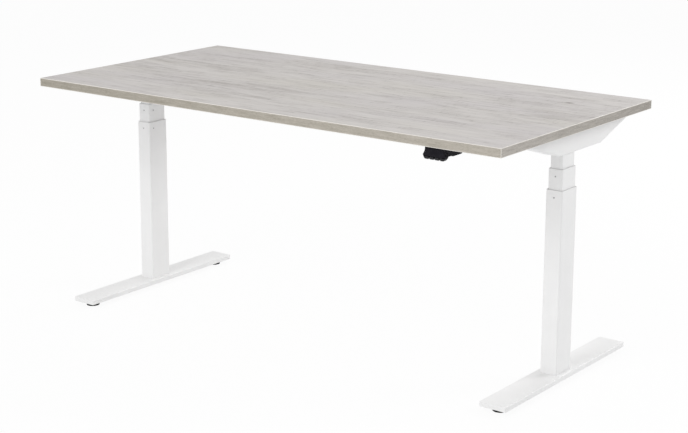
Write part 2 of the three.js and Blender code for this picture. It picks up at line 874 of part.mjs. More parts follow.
/** Plastic shell, open above, with a slot in the nose for the stem of each key. */
function handsetHousingSolid() {
  const halfBody = handsetBodyWidth / 2;
  const bodyBottom = deskUnderside - handsetBodyDrop;
  const body = box([-halfBody, handsetNoseDepth, bodyBottom], [halfBody, handsetDepth, handsetTop]);
  const nose = prismAlongY(noseShape(0), 0, handsetNoseDepth);
  const halfInside = halfBody - handsetWall;
  const bodyInside = box(
    [-halfInside, handsetNoseDepth + handsetWall, handsetFloor],
    [halfInside, handsetDepth - handsetWall, handsetTop + 1],
  );
  const noseInside = prismAlongY(noseShape(handsetWall), handsetWall, handsetNoseDepth - handsetWall);
  const passage = box(
    [-halfInside, handsetWall + 1, noseBottom + handsetWall],
    [halfInside, handsetNoseDepth + handsetWall + 1, handsetTop + 1],
  );
  const slots = keyPlaces().map(({ left, width }) =>
    block(
      keyStemWidth + 2 * keySideGap,
      keyStemDepth + 2 * keySideGap,
      noseBottom - 1,
      noseBottom + handsetWall + 1,
      left + width / 2,
      handsetNoseDepth / 2,
    ),
  );
  const posts = handsetPostPlaces().map(([x, y]) =>
    rod(handsetBoardPostRadius, handsetFloor - 1, handsetBoardBottom, x, y, 12),
  );
  return join([cut(body.add(nose), [bodyInside, noseInside, passage, ...slots]), ...posts]);
}

function handsetPostPlaces() {
  const x = handsetBodyWidth / 2 - handsetWall - handsetBoardPostRadius - 2;
  return [-1, 1].flatMap((sign) => [
    [sign * x, handsetNoseDepth + handsetBoardPostRadius + 4],
    [sign * x, handsetDepth - handsetWall - handsetBoardPostRadius - 4],
  ]);
}

/** Circuit board on the posts, reaching over the key stems. */
function handsetBoardSolid() {
  const x = handsetBodyWidth / 2 - handsetWall - 1;
  const front = handsetWall + 1;
  const rear = handsetDepth - handsetWall - 1;
  return box([-x, front, handsetBoardBottom], [x, rear, handsetBoardBottom + boardThickness]);
}

/** Plate that holds the handset under the desktop. */
function handsetPlateSolid() {
  const halfWidth = handsetBodyWidth / 2 + handsetPlateMargin;
  return box([-halfWidth, 0, handsetTop], [halfWidth, handsetDepth, deskUnderside]);
}

/** Key: a rounded lobe under the nose, on a stem with a flange that stops it from falling out. */
function keySolid({ left, width }) {
  const middle = left + width / 2;
  const lobeTop = noseBottom - keyTravel - seatGap;
  const lobe = new THREE.Shape();
  lobe.moveTo(left, lobeTop);
  lobe.absarc(left + keyRounding, keyBottom + keyRounding, keyRounding, Math.PI, 1.5 * Math.PI);
  lobe.absarc(left + width - keyRounding, keyBottom + keyRounding, keyRounding, 1.5 * Math.PI, 2 * Math.PI);
  lobe.lineTo(left + width, lobeTop);
  const stemFront = (handsetNoseDepth - keyStemDepth) / 2;
  const flangeBottom = noseBottom + handsetWall + seatGap;
  const stem = box(
    [middle - keyStemWidth / 2, stemFront, lobeTop - 1],
    [middle + keyStemWidth / 2, stemFront + keyStemDepth, flangeBottom + keyFlangeThickness],
  );
  const flange = box(
    [middle - keyStemWidth / 2 - keyFlangeMargin, stemFront - keyFlangeMargin, flangeBottom],
    [
      middle + keyStemWidth / 2 + keyFlangeMargin,
      stemFront + keyStemDepth + keyFlangeMargin,
      flangeBottom + keyFlangeThickness,
    ],
  );
  return join([prismAlongY(lobe, 0, handsetNoseDepth - keySideGap), stem, flange]);
}

function buildHandset() {
  const group = new THREE.Group();
  group.add(
    toMesh('handset_plate', handsetPlateSolid(), blackPlastic),
    toMesh('handset_housing', handsetHousingSolid(), blackPlastic),
    toMesh('handset_board', handsetBoardSolid(), circuitBoard),
  );
  const keyNames = ['key_down', 'key_memory_1', 'key_memory_2', 'key_up'];
  keyPlaces().forEach((place, index) => {
    group.add(toMesh(keyNames[index], keySolid(place), blackPlastic));
  });
  group.position.set(handsetX, -deskDepth / 2 + handsetFrontInset, 0);
  return group;
}

// ---- The desk ----

const desk = new THREE.Group();
desk.name = 'standing_desk';
desk.add(buildLeg(-1), buildLeg(1), buildDesktop(), buildControlBox(), buildHandset());

export default desk;
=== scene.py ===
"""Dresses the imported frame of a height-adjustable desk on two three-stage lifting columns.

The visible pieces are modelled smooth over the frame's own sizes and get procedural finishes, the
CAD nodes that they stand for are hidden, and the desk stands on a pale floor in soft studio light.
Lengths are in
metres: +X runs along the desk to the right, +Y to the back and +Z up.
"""

import logging
import math
from collections.abc import Callable, Iterator, Mapping, Sequence
from contextlib import contextmanager
from dataclasses import dataclass, field, replace
from enum import Enum
from functools import cached_property, partial
from typing import Self

import bmesh
import bpy
from mathutils import Matrix, Vector


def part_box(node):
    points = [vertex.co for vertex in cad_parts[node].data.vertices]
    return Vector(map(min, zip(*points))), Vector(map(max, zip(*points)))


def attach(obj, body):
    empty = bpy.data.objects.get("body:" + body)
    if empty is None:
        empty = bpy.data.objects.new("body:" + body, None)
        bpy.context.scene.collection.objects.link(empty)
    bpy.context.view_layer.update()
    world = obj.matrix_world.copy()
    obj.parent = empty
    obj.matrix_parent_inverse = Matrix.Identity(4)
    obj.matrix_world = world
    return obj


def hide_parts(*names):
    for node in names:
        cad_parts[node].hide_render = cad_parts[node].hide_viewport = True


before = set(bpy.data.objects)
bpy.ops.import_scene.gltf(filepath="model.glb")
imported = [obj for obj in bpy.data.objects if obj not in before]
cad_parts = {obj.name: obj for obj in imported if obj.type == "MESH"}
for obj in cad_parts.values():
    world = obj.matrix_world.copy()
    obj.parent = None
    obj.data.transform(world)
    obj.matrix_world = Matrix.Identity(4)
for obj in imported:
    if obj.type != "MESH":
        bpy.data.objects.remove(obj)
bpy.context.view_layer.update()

log = logging.getLogger("desk")

Colour = tuple[float, float, float]
Test = Callable[[Vector, Vector], bool]

MILLIMETRE = 0.001
SIDES = ("left", "right")
ENDS = ("front", "rear")
KEYS = ("key_down", "key_memory_1", "key_memory_2", "key_up")
DESK = "desk_top"
WHITE = (1.0, 1.0, 1.0)
AXES = {"X": Vector((1, 0, 0)), "Y": Vector((0, 1, 0)), "Z": Vector((0, 0, 1))}


def mm(value: float) -> float:
    """Turns millimetres into metres."""
    return value * MILLIMETRE


CLOSE = mm(0.01)  # lengths that differ by less are taken as equal
FLAT = 0.999  # least share along an axis of a direction that lies quite along it
PAST = mm(1)  # how far a cutting tool or a welded piece reaches past the skin that it meets
SHEET_DRILL = mm(5)  # depth that takes a drill through any sheet
SMALLEST = mm(0.005)  # shorter edges are merged away
ROUND_SIDES = 32  # sides of drilled holes, bushes and posts


def linear(red: int, green: int, blue: int) -> Colour:
    """Turns a display colour into the linear values that shaders take.

    Args:
        red: Display level from 0 to 255.
        green: Display level from 0 to 255.
        blue: Display level from 0 to 255.

    Returns:
        The linear red, green and blue.
    """

    def channel(level: int) -> float:
        """Undoes the display curve of one channel."""
        share = level / 255
        return share / 12.92 if share <= 0.04045 else ((share + 0.055) / 1.055) ** 2.4

    return channel(red), channel(green), channel(blue)


# ---- Shader graphs ----


class Value:
    """A shader socket that takes part in Python arithmetic."""

    def __init__(self, graph: "Graph", socket: bpy.types.NodeSocket) -> None:
        """Wraps an output socket of the graph."""
        self.graph = graph
        self.socket = socket

    def __add__(self, other: "Value | float") -> "Value":
        """Sum."""
        return self.graph.maths("ADD", self, other)

    __radd__ = __add__

    def __sub__(self, other: "Value | float") -> "Value":
        """Difference."""
        return self.graph.maths("SUBTRACT", self, other)

    def __rsub__(self, other: float) -> "Value":
        """Difference from a number."""
        return self.graph.maths("SUBTRACT", other, self)

    def __mul__(self, other: "Value | float") -> "Value":
        """Product."""
        return self.graph.maths("MULTIPLY", self, other)

    __rmul__ = __mul__

    def __truediv__(self, other: "Value | float") -> "Value":
        """Quotient."""
        return self.graph.maths("DIVIDE", self, other)

    def __pow__(self, other: "Value | float") -> "Value":
        """Power."""
        return self.graph.maths("POWER", self, other)

    def clamped(self) -> "Value":
        """Limits the value to 0..1."""
        return self.graph.maths("MULTIPLY", self, 1.0, clamp=True)

    def above(self, threshold: float, width: float) -> "Value":
        """Soft step that is 0 below the threshold and 1 above threshold + width."""
        return ((self - threshold) / width).clamped()


Socketable = Value | float | Sequence[float]


class Graph:
    """Node tree of one material or of the world."""

    def __init__(self, owner: bpy.types.Material | bpy.types.World) -> None:
        """Empties the owner's node tree and gives it an output.

        Args:
            owner: A new material or world.
        """
        owner.use_nodes = True
        self.owner = owner
        self.tree = owner.node_tree
        self.tree.nodes.clear()
        kind = "World" if isinstance(owner, bpy.types.World) else "Material"
        self.output = self.tree.nodes.new(f"ShaderNodeOutput{kind}")

    @classmethod
    def of_material(cls, name: str) -> "Graph":
        """Starts a new material."""
        return cls(bpy.data.materials.new(name))

    @cached_property
    def coordinates(self) -> Value:
        """Object coordinates."""
        return self.node("ShaderNodeTexCoord", output="Object")

    def node(
        self,
        kind: str,
        settings: Mapping[str, object] | None = None,
        sockets: Mapping[str | int, Socketable] | None = None,
        output: str | int = 0,
    ) -> Value:
        """Adds one node.

        Args:
            kind: The node's type.
            settings: Attributes that are set first; "stops" holds a ramp's (place, colour) pairs.
            sockets: Values or links of its inputs.
            output: Which output is wanted.

        Returns:
            That output.
        """
        made = self.tree.nodes.new(kind)
        for key, setting in (settings or {}).items():
            if key == "stops":
                self._set_stops(made.color_ramp, setting)
            else:
                setattr(made, key, setting)
        for key, source in (sockets or {}).items():
            if isinstance(source, Value):
                self.tree.links.new(source.socket, made.inputs[key])
            elif isinstance(source, (int, float)):
                made.inputs[key].default_value = source
            else:
                wanted = len(made.inputs[key].default_value)
                made.inputs[key].default_value = (*source, 1.0)[:wanted]
        return Value(self, made.outputs[output])

    @staticmethod
    def _set_stops(ramp: bpy.types.ColorRamp, stops: Sequence[tuple[float, Colour]]) -> None:
        """Gives a colour ramp its stops.

        Args:
            ramp: The ramp.
            stops: Each stop's place and colour.
        """
        while len(ramp.elements) < len(stops):
            ramp.elements.new(1.0)
        for element, (place, colour) in zip(ramp.elements, stops):
            element.position = place
            element.color = (*colour, 1.0)

    def maths(
        self, operation: str, first: Value | float, second: Value | float = 0.0, clamp: bool = False
    ) -> Value:
        """Adds a Math node."""
        settings = {"operation": operation, "use_clamp": clamp}
        return self.node("ShaderNodeMath", settings, {0: first, 1: second})

    def stretched(self, scale: Sequence[float], shift: Sequence[float] = (0, 0, 0)) -> Value:
        """Object coordinates, scaled and moved."""
        sockets = {"Vector": self.coordinates, "Scale": scale, "Location": shift}
        return self.node("ShaderNodeMapping", sockets=sockets)

    def axes(self) -> tuple[Value, Value, Value]:
        """The three object coordinates as numbers, in metres."""
        split = self.node("ShaderNodeSeparateXYZ", sockets={0: self.coordinates}).socket.node
        return tuple(Value(self, split.outputs[index]) for index in range(3))

    def noise(
        self, where: Value, detail: float = 3.0, roughness: float = 0.5, twist: float = 0.0
    ) -> Value:
        """Noise at unit scale on given coordinates, round 0.5."""
        sockets = {"Vector": where, "Scale": 1.0, "Detail": detail, "Roughness": roughness}
        return self.node("ShaderNodeTexNoise", sockets={**sockets, "Distortion": twist})

    def even_noise(self, per_metre: float, detail: float = 2.0) -> Value:
        """Noise with the same grain size along every axis."""
        return self.noise(self.stretched((per_metre,) * 3), detail)

    def mix(self, share: Value | float, first: Value | Colour, second: Value | Colour) -> Value:
        """Mixes two colours."""
        return self.node("ShaderNodeMix", {"data_type": "RGBA"}, {0: share, 6: first, 7: second}, 2)

    def bump(self, height: Value, distance: float, strength: float = 1.0) -> Value:
        """Bump from a height that runs from 0 to 1 over a distance in metres."""
        sockets = {"Strength": strength, "Distance": distance, "Height": height}
        return self.node("ShaderNodeBump", sockets=sockets)

    def end_in(self, shader: Value) -> None:
        """Links a shader to the output."""
        self.tree.links.new(shader.socket, self.output.inputs["Surface"])

    def surface(self, **sockets: Socketable) -> bpy.types.Material:
        """Adds the Principled surface.

        Args:
            sockets: Its inputs, with spaces in their names written as underscores.

        Returns:
            The finished material.
        """
        named = {key.replace("_", " "): source for key, source in sockets.items()}
        self.end_in(self.node("ShaderNodeBsdfPrincipled", sockets=named))
        return self.owner


# ---- Finishes ----


class Grain(Enum):
    """Direction in which a wood print runs."""

    LENGTHWISE = (1, 0)
    CROSSWISE = (0, 1)

    def scale(self, along: float, across: float) -> Colour:
        """Coordinate scale that stretches a pattern along the grain."""
        x, y = self.value
        return (along if x else across, along if y else across, across)


@dataclass(frozen=True)
class Knot:
    """A knot or a shaded patch in the wood print."""

    x: float
    y: float
    length: float
    width: float
    strength: float = 0.8


@dataclass(frozen=True)
class OakLaminate:
    """Pale grey oak print under a matte lacquer, with saw marks in its darker bands."""

    pale: Colour = linear(206, 202, 199)
    middle: Colour = linear(192, 188, 185)
    dark: Colour = linear(166, 160, 156)
    pore: Colour = linear(132, 126, 121)
    cool: Colour = linear(191, 186, 190)
    warm: Colour = linear(194, 190, 179)
    knots: tuple[Knot, ...] = (
        Knot(0.64, 0.22, 0.018, 0.009, 1.0),
        Knot(0.44, 0.225, 0.030, 0.005, 0.6),
        Knot(-0.31, -0.19, 0.020, 0.005, 0.5),
        Knot(0.71, 0.015, 0.100, 0.026, 0.32),
        Knot(-0.48, 0.06, 0.120, 0.022, 0.13),
        Knot(0.46, -0.21, 0.160, 0.014, 0.12),
    )

    def material(self) -> bpy.types.Material:
        """Builds the material.

        Returns:
            The laminate of the desktop's top.
        """
        graph = Graph.of_material("oak_laminate")
        drift = graph.noise(graph.stretched((1.3, 3.0, 1.0)), 2.0)
        x, y, _ = graph.axes()
        wavy = graph.node(
            "ShaderNodeCombineXYZ", sockets={0: x * 1.5, 1: (y + drift * 0.05) * 17.0, 2: 0.0}
        )
        bands = graph.noise(wavy, 5.0, 0.62, 0.4)
        streaks = graph.noise(graph.stretched((5.0, 130.0, 1.0), (3.1, 0.7, 0.0)), 4.0, 0.7)
        flecks = graph.noise(graph.stretched((11.0, 85.0, 1.0), (0.4, 9.2, 0.0)), 2.0, 0.6)
        hairs = graph.noise(graph.stretched((14.0, 520.0, 1.0)), 2.0, 0.6)
        fibres = graph.noise(graph.stretched((26.0, 1700.0, 1.0), (5.3, 2.9, 0.0)), 3.0, 0.7)
        grain = bands * 0.36 + streaks * 0.3 + flecks * 0.34 + hairs * 0.22 + fibres * 0.24
        tone = ((grain - 0.73) * 1.2 + (drift - 0.5) * 0.2 + 0.49).clamped()
        wood = graph.node(
            "ShaderNodeValToRGB",
            {"stops": [(0.30, self.dark), (0.46, self.middle), (0.66, self.pale)]},
            {"Fac": tone},
        )
        hue = graph.noise(graph.stretched((2.2, 7.0, 1.0), (7.7, 0.0, 0.0)), 2.0)
        tinted = graph.mix(hue.above(0.52, 0.2) * 0.35, wood, self.cool)
        tinted = graph.mix((1.0 - hue).above(0.52, 0.2) * 0.35, tinted, self.warm)
        shade = 1.0 - tone.above(0.40, 0.14)
        ticks = graph.noise(graph.stretched((150.0, 34.0, 1.0)), 2.0, 0.6)
        pores = hairs.above(0.55, 0.1) * shade * 0.4 + ticks.above(0.55, 0.1) * shade * 0.35
        pores = pores.clamped()
        marked = graph.mix((pores + self._knots(graph, x, y)).clamped(), tinted, self.pore)
        return graph.surface(
            Base_Color=marked,
            Roughness=0.55 + (streaks - 0.5) * 0.2 + pores * 0.1,
            Specular_IOR_Level=0.2,
            Normal=graph.bump(streaks * 0.4 + fibres * 0.4 - pores, mm(0.08), 0.5),
        )

    def _knots(self, graph: Graph, x: Value, y: Value) -> Value:
        """Mask that is strongest at the heart of each knot and fades out round it.

        Args:
            graph: The material's graph.
            x: The coordinate along the grain.
            y: The coordinate across it.

        Returns:
            The mask.
        """
        mask: Value | float = 0.0
        for knot in self.knots:
            across = ((y - knot.y) / knot.width) ** 2.0
            along = ((x - knot.x) / knot.length) ** 2.0
            mask = (1.0 - graph.maths("MINIMUM", along + across, 1.0)) * knot.strength + mask
        return mask


@dataclass(frozen=True)
class EdgeBand:
    """Edge band printed to match the oak; the pale line at the trimmed arris is the band's
    unprinted body showing there, together with a painted highlight.
    """

    grain: Grain
    top: float
    underside: float
    end: float
    pale: Colour = linear(184, 178, 168)
    dark: Colour = linear(143, 138, 126)
    # Colour of the pale arris line: the band's unprinted body and a painted highlight in one.
    core_and_highlight: Colour = linear(226, 222, 216)
    trimmed: float = mm(1.6)
    # drift paints a light gradient into the tone: lighter towards +X on the front and rear bands,
    # and towards the front on the side bands.
    drift: float = 0.28
    contrast: float = 1.0

    def material(self) -> bpy.types.Material:
        """Builds the material.

        Returns:
            The edge band.
        """
        graph = Graph.of_material(f"edge_band_{self.grain.name.lower()}")
        x, y, z = graph.axes()
        forward = x if self.grain is Grain.LENGTHWISE else y * -1.0
        streaks = graph.noise(graph.stretched(self.grain.scale(14.0, 190.0)), 4.0, 0.7, 0.3)
        specks = graph.noise(graph.stretched(self.grain.scale(130.0, 620.0)), 3.0, 0.65)
        fibres = graph.noise(graph.stretched(self.grain.scale(24.0, 1400.0)), 3.0, 0.7)
        dashes = graph.noise(graph.stretched(self.grain.scale(120.0, 900.0)), 2.0, 0.6)
        marks = (streaks - 0.5) * 1.6 + (specks - 0.5) * 1.7 + (fibres - 0.5) * 2.0
        marks = (marks - dashes.above(0.6, 0.14) * 0.35) * self.contrast
        # Painted light: the tone grows lighter along the band at the rate drift.
        tone = (marks + forward * self.drift + 0.57).clamped()
        # Pale line along the top and bottom arrises, and at the ends of the front and rear bands:
        # the unprinted body showing, with a painted highlight.
        upper = z.above(self.top - self.trimmed, mm(0.2))
        lower = 1.0 - z.above(self.underside + self.trimmed, mm(0.2))
        ends = graph.maths("ABSOLUTE", x).above(self.end - mm(0.9), mm(0.2))
        arris = (upper + lower + ends * float(self.grain is Grain.LENGTHWISE)).clamped()
        return graph.surface(
            Base_Color=graph.mix(arris, graph.mix(tone, self.dark, self.pale), self.core_and_highlight),
            Roughness=0.5 + (specks - 0.5) * 0.2,
            Specular_IOR_Level=0.2,
            Normal=graph.bump(specks * 0.5 + fibres * 0.5 - dashes, mm(0.05), 0.4),
        )


@dataclass(frozen=True)
class PowderCoat:
    """Fine-textured white powder coat on steel."""

    colour: Colour = linear(243, 243, 243)
    shaded: Colour = linear(237, 237, 237)

    def material(self) -> bpy.types.Material:
        """Builds the material.

        Returns:
            The white paint.
        """
        graph = Graph.of_material("white_powder_coat")
        cloud = graph.even_noise(14.0)
        peel = graph.even_noise(650.0, 3.0)
        return graph.surface(
            Base_Color=graph.mix(cloud, self.shaded, self.colour),
            Roughness=0.4 + (peel - 0.5) * 0.16,
            Normal=graph.bump(peel, mm(0.03), 0.35),
        )


@dataclass(frozen=True)
class MouldedPlastic:
    """Moulded plastic with a fine spark-eroded texture."""

    name: str
    colour: Colour
    worn: Colour
    roughness: float = 0.45
    gloss: float = 0.3

    def material(self) -> bpy.types.Material:
        """Builds the material.

        Returns:
            The plastic.
        """
        graph = Graph.of_material(self.name)
        texture = graph.even_noise(2600.0, 1.0)
        cloud = graph.even_noise(60.0)
        return graph.surface(
            Base_Color=graph.mix(cloud.above(0.45, 0.3), self.colour, self.worn),
            Roughness=self.roughness + (cloud - 0.5) * 0.15,
            Specular_IOR_Level=self.gloss,
            Normal=graph.bump(texture, mm(0.04), 0.4),
        )


@dataclass(frozen=True)
class Metal:
    """Bare or plated metal with faint drawn lines along Z."""

    name: str
    colour: Colour
    dull: Colour
    roughness: float = 0.3

    def material(self) -> bpy.types.Material:
        """Builds the material.

        Returns:
            The metal.
        """
        graph = Graph.of_material(self.name)
        spangle = graph.even_noise(180.0)
        drawn = graph.noise(graph.stretched((1500.0, 1500.0, 20.0)))
        return graph.surface(
            Base_Color=graph.mix(spangle, self.dull, self.colour),
            Metallic=1.0,
            Roughness=self.roughness + (spangle - 0.5) * 0.2 + (drawn - 0.5) * 0.1,
            Normal=graph.bump(drawn, mm(0.02), 0.3),
        )


@dataclass(frozen=True)
class CircuitBoard:
    """Green solder mask with copper tracks under it and pale solder lands."""

    mask: Colour = linear(38, 92, 58)
    track: Colour = linear(58, 122, 76)
    solder: Colour = linear(205, 205, 200)

    def material(self) -> bpy.types.Material:
        """Builds the material.

        Returns:
            The circuit board.
        """
        graph = Graph.of_material("circuit_board")
        cells = graph.node(
            "ShaderNodeTexVoronoi",
            {"distance": "CHEBYCHEV"},
            {"Vector": graph.stretched((260.0, 260.0, 1.0)), "Scale": 1.0},
            "Distance",
        )
        lands = 1.0 - cells.above(0.12, 0.03)
        tracks = cells.above(0.5, 0.05)
        board = graph.mix(tracks, self.mask, self.track)
        return graph.surface(
            Base_Color=graph.mix(lands, board, self.solder),
            Roughness=0.35 + tracks * 0.15,
            Normal=graph.bump(tracks, mm(0.05), 0.5),
        )


@dataclass(frozen=True)
class Coat:
    """A finish's material, with the name of the material slot that it stands for."""

    material: bpy.types.Material
    slot: str


# ---- Modelling bench ----


@dataclass(frozen=True)
class Thread:
    """Rolled thread with round crests, right-handed unless hand is -1."""

    pitch: float
    depth: float
    starts: int = 1
    hand: int = 1
    rings: int = 6

    def groove(self, turn: float, level: float) -> float:
        """How far the surface lies below the crest at an angle and a level."""
        phase = 2 * math.pi * level / self.pitch - self.hand * self.starts * turn
        return self.depth * (1 - math.cos(phase)) / 2


def near(first: float, second: float, slack: float = CLOSE) -> bool:
    """Tells whether two lengths agree."""
    return abs(first - second) < slack


def parallel_to(axis: str, least: float = 0.9) -> Test:
    """Picks the edges that run along an axis, or the faces that look either way along it."""
    return lambda middle, direction: abs(direction.dot(AXES[axis])) > least


def level_edges(height: float) -> Test:
    """Picks the level edges at a height."""
    return lambda middle, direction: near(middle.z, height) and abs(direction.z) < 0.1


def upright_edges(axis: str, place: float, slack: float = CLOSE) -> Test:
    """Picks the upright edges at one place along an axis."""
    across = AXES[axis]
    return lambda middle, along: abs(along.z) > 0.9 and near(middle.dot(across), place, slack)


def facing_up(centre: Vector, normal: Vector) -> bool:
    """Picks the faces that look up."""
    return normal.z > 0.9


def facing_down(centre: Vector, normal: Vector) -> bool:
    """Picks the faces that look down."""
    return normal.z < -0.9


class Workpiece:
    """A mesh that is shaped with operators and ends as a finished piece of the desk."""

    def __init__(self, made: bpy.types.Object) -> None:
        """Takes over an object.

        Args:
            made: A mesh object with its place already in its mesh.
        """
        self.object = made

    @classmethod
    def block(cls, name: str, low: Sequence[float], high: Sequence[float]) -> Self:
        """Starts from a box between two corners.

        Args:
            name: The piece's name.
            low: Its lowest corner.
            high: Its highest corner.

        Returns:
            The new workpiece.
        """
        bpy.ops.object.select_all(action="DESELECT")
        middle = [(a + b) / 2 for a, b in zip(low, high)]
        size = [b - a for a, b in zip(low, high)]
        bpy.ops.mesh.primitive_cube_add(size=1, location=middle, scale=size)
        return cls._placed(name)

    @classmethod
    def bar(cls, name: str, axis: Sequence[float], half: float, low: float, high: float) -> Self:
        """Starts from an upright square bar.

        Args:
            name: The piece's name.
            axis: Any point on its axis.
            half: Half of its width.
            low: Level of its lower end.
            high: Level of its upper end.

        Returns:
            The new workpiece.
        """
        x, y = axis[0], axis[1]
        return cls.block(name, (x - half, y - half, low), (x + half, y + half, high))

    @classmethod
    def disc(
        cls,
        name: str,
        radius: float,
        low: Sequence[float],
        height: float,
        sides: int = 64,
        axis: str = "Z",
    ) -> Self:
        """Starts from a closed cylinder.

        Args:
            name: The piece's name.
            radius: Its radius.
            low: The centre of the end that lies lowest along the axis.
            height: Its length along the axis.
            sides: How many sides it has.
            axis: "X", "Y" or "Z".

        Returns:
            The new workpiece.
        """
        bpy.ops.object.select_all(action="DESELECT")
        turn = {"X": (0, math.pi / 2, 0), "Y": (math.pi / 2, 0, 0), "Z": (0, 0, 0)}[axis]
        middle = Vector(low) + AXES[axis] * height / 2
        bpy.ops.mesh.primitive_cylinder_add(
            vertices=sides, radius=radius, depth=height, location=middle, rotation=turn
        )
        return cls._placed(name)

    @classmethod
    def turned(
        cls,
        name: str,
        base: Sequence[float],
        outline: Sequence[tuple[float, float]],
        sides: int = 48,
        axis: str = "Z",
    ) -> Self:
        """Starts from a disc and draws its end out through a row of steps.

        Args:
            name: The piece's name.
            base: Point on the axis that heights are measured from.
            outline: Radius and height of each step. The first two share a radius.
            sides: How many sides it has.
            axis: "X", "Y" or "Z".

        Returns:
            The new workpiece.
        """
        (radius, start), (_, height), *steps = outline
        along, base = AXES[axis], Vector(base)
        piece = cls.disc(name, radius, base + along * start, height - start, sides, axis)
        for wanted, reached in steps:
            piece._draw_out(base + along * height, along, wanted / radius, reached - height)
            radius, height = wanted, reached
        return piece

    def _draw_out(self, point: Vector, along: Vector, share: float, rise: float) -> None:
        """Extrudes the end face and scales it across the axis.

        Args:
            point: The end face's centre.
            along: The axis.
            share: The new radius over the old one.
            rise: How far the face moves along the axis.
        """

        def on_end(centre: Vector, normal: Vector) -> bool:
            """Picks the end face."""
            return near((centre - point).length, 0.0) and normal.dot(along) > 0.9

        with self._editing("FACE", on_end):
            bpy.ops.mesh.extrude_region_move(TRANSFORM_OT_translate={"value": along * rise})
            scale = [1.0 if part else share for part in along]
            bpy.ops.transform.resize(value=scale, center_override=point + along * rise)

    @classmethod
    def plate(
        cls,
        name: str,
        low: Sequence[float],
        high: Sequence[float],
        corner: float,
        segments: int = 6,
    ) -> Self:
        """Starts from a box whose four upright corners are rounded.

        Args:
            name: The piece's name.
            low: Its lowest corner.
            high: Its highest corner.
            corner: Radius of its corners.
            segments: How many faces each corner has.

        Returns:
            The new workpiece.
        """
        return cls.block(name, low, high).bevel(corner, segments, parallel_to("Z"))

    @classmethod
    def _placed(cls, name: str) -> Self:
        """Names the new primitive and puts its place into its mesh.

        Args:
            name: The piece's name.

        Returns:
            The new workpiece.
        """
        made = bpy.context.object
        made.name = name
        made.data.name = name
        bpy.ops.object.transform_apply(location=True, rotation=True, scale=True)
        return cls(made)

    def _activate(self) -> None:
        """Makes this the only selected object."""
        bpy.ops.object.select_all(action="DESELECT")
        self.object.select_set(True)
        bpy.context.view_layer.objects.active = self.object

    @contextmanager
    def _editing(self, kind: str, test: Test | None = None) -> Iterator[None]:
        """Enters edit mode with the faces or edges selected that pass a test.

        Args:
            kind: "FACE" or "EDGE".
            test: Takes a face's centre and normal, or an edge's middle and direction. All are
                selected without it.

        Returns:
            The context, which leaves edit mode when it ends.
        """
        self._activate()
        bpy.ops.object.mode_set(mode="EDIT")
        bpy.ops.mesh.select_mode(type=kind)
        bpy.ops.mesh.select_all(action="SELECT" if test is None else "DESELECT")
        if test is not None:
            mesh = bmesh.from_edit_mesh(self.object.data)
            if kind == "FACE":
                for face in mesh.faces:
                    face.select_set(test(face.calc_center_median(), face.normal))
            else:
                for edge in mesh.edges:
                    start, end = (vertex.co for vertex in edge.verts)
                    edge.select_set(test((start + end) / 2, (end - start).normalized()))
            bmesh.update_edit_mesh(self.object.data)
        yield
        bpy.ops.object.mode_set(mode="OBJECT")

    def _edit(
        self,
        operator: Callable[..., set[str]],
        kind: str,
        test: Test | None = None,
        **settings: object,
    ) -> Self:
        """Runs one operator in edit mode.

        Args:
            operator: The operator.
            kind: "FACE" or "EDGE".
            test: Picks the faces or edges that it acts on, or all without it.
            settings: The operator's settings.

        Returns:
            The same workpiece.
        """
        with self._editing(kind, test):
            operator(**settings)
        return self

    def bevel(self, width: float, segments: int, test: Test) -> Self:
        """Rounds the edges that pass a test."""
        settings = {"offset": width, "segments": segments, "profile": 0.5, "clamp_overlap": True}
        return self._edit(bpy.ops.mesh.bevel, "EDGE", test, affect="EDGES", **settings)

    def remove_faces(self, test: Test) -> Self:
        """Deletes the faces that pass a test."""
        return self._edit(bpy.ops.mesh.delete, "FACE", test, type="FACE")

    def inset(self, width: float, test: Test, depth: float = 0.0, each: bool = False) -> Self:
        """Insets faces.

        Args:
            width: How far their edges move in.
            test: Picks the faces.
            depth: How far they rise, or sink where it is negative.
            each: Whether each face is inset by itself.

        Returns:
            The same workpiece.
        """
        settings = {"thickness": width, "depth": depth, "use_individual": each}
        return self._edit(bpy.ops.mesh.inset, "FACE", test, **settings)

    def extrude(self, move: Sequence[float], test: Test) -> Self:
        """Extrudes the faces that pass a test."""
        settings = {"TRANSFORM_OT_translate": {"value": tuple(move)}}
        return self._edit(bpy.ops.mesh.extrude_region_move, "FACE", test, **settings)

    def slice_off(self, point: Sequence[float], outward: Sequence[float]) -> Self:
        """Cuts away all that lies outside a plane and closes the cut."""
        settings = {"plane_co": point, "plane_no": outward, "use_fill": True, "clear_outer": True}
        return self._edit(bpy.ops.mesh.bisect, "FACE", **settings)

    def ring_cuts(self, levels: Sequence[float], axis: str = "Z") -> Self:
        """Adds an edge loop round the piece at each of several levels.

        Args:
            levels: Places along the axis.
            axis: "X", "Y" or "Z".

        Returns:
            The same workpiece.
        """
        across = AXES[axis]
        for level in levels:
            self._edit(bpy.ops.mesh.bisect, "FACE", plane_co=across * level, plane_no=across)
        return self

    def reshape(self, move: Callable[[Vector], Vector]) -> Self:
        """Moves every vertex.

        Args:
            move: Takes a vertex's place and gives its new one.

        Returns:
            The same workpiece.
        """
        for vertex in self.object.data.vertices:
            vertex.co = move(vertex.co.copy())
        return self

    def thread(self, rolled: Thread, axis: Vector, radius: float, low: float, high: float) -> Self:
        """Rolls a thread into an upright cylinder.

        Args:
            rolled: The thread.
            axis: A point on the cylinder's axis.
            radius: The cylinder's radius, which stays that of the crests.
            low: Level where the thread begins.
            high: Level where it ends.

        Returns:
            The same workpiece.
        """

        def on_skin(place: Vector) -> bool:
            """Tells whether a point lies on the cylinder."""
            return near((place - axis).xy.length, radius, mm(0.05))

        def on_shank(middle: Vector, direction: Vector) -> bool:
            """Picks the cylinder's upright edges."""
            return abs(direction.z) > 0.99 and low < middle.z < high and on_skin(middle)

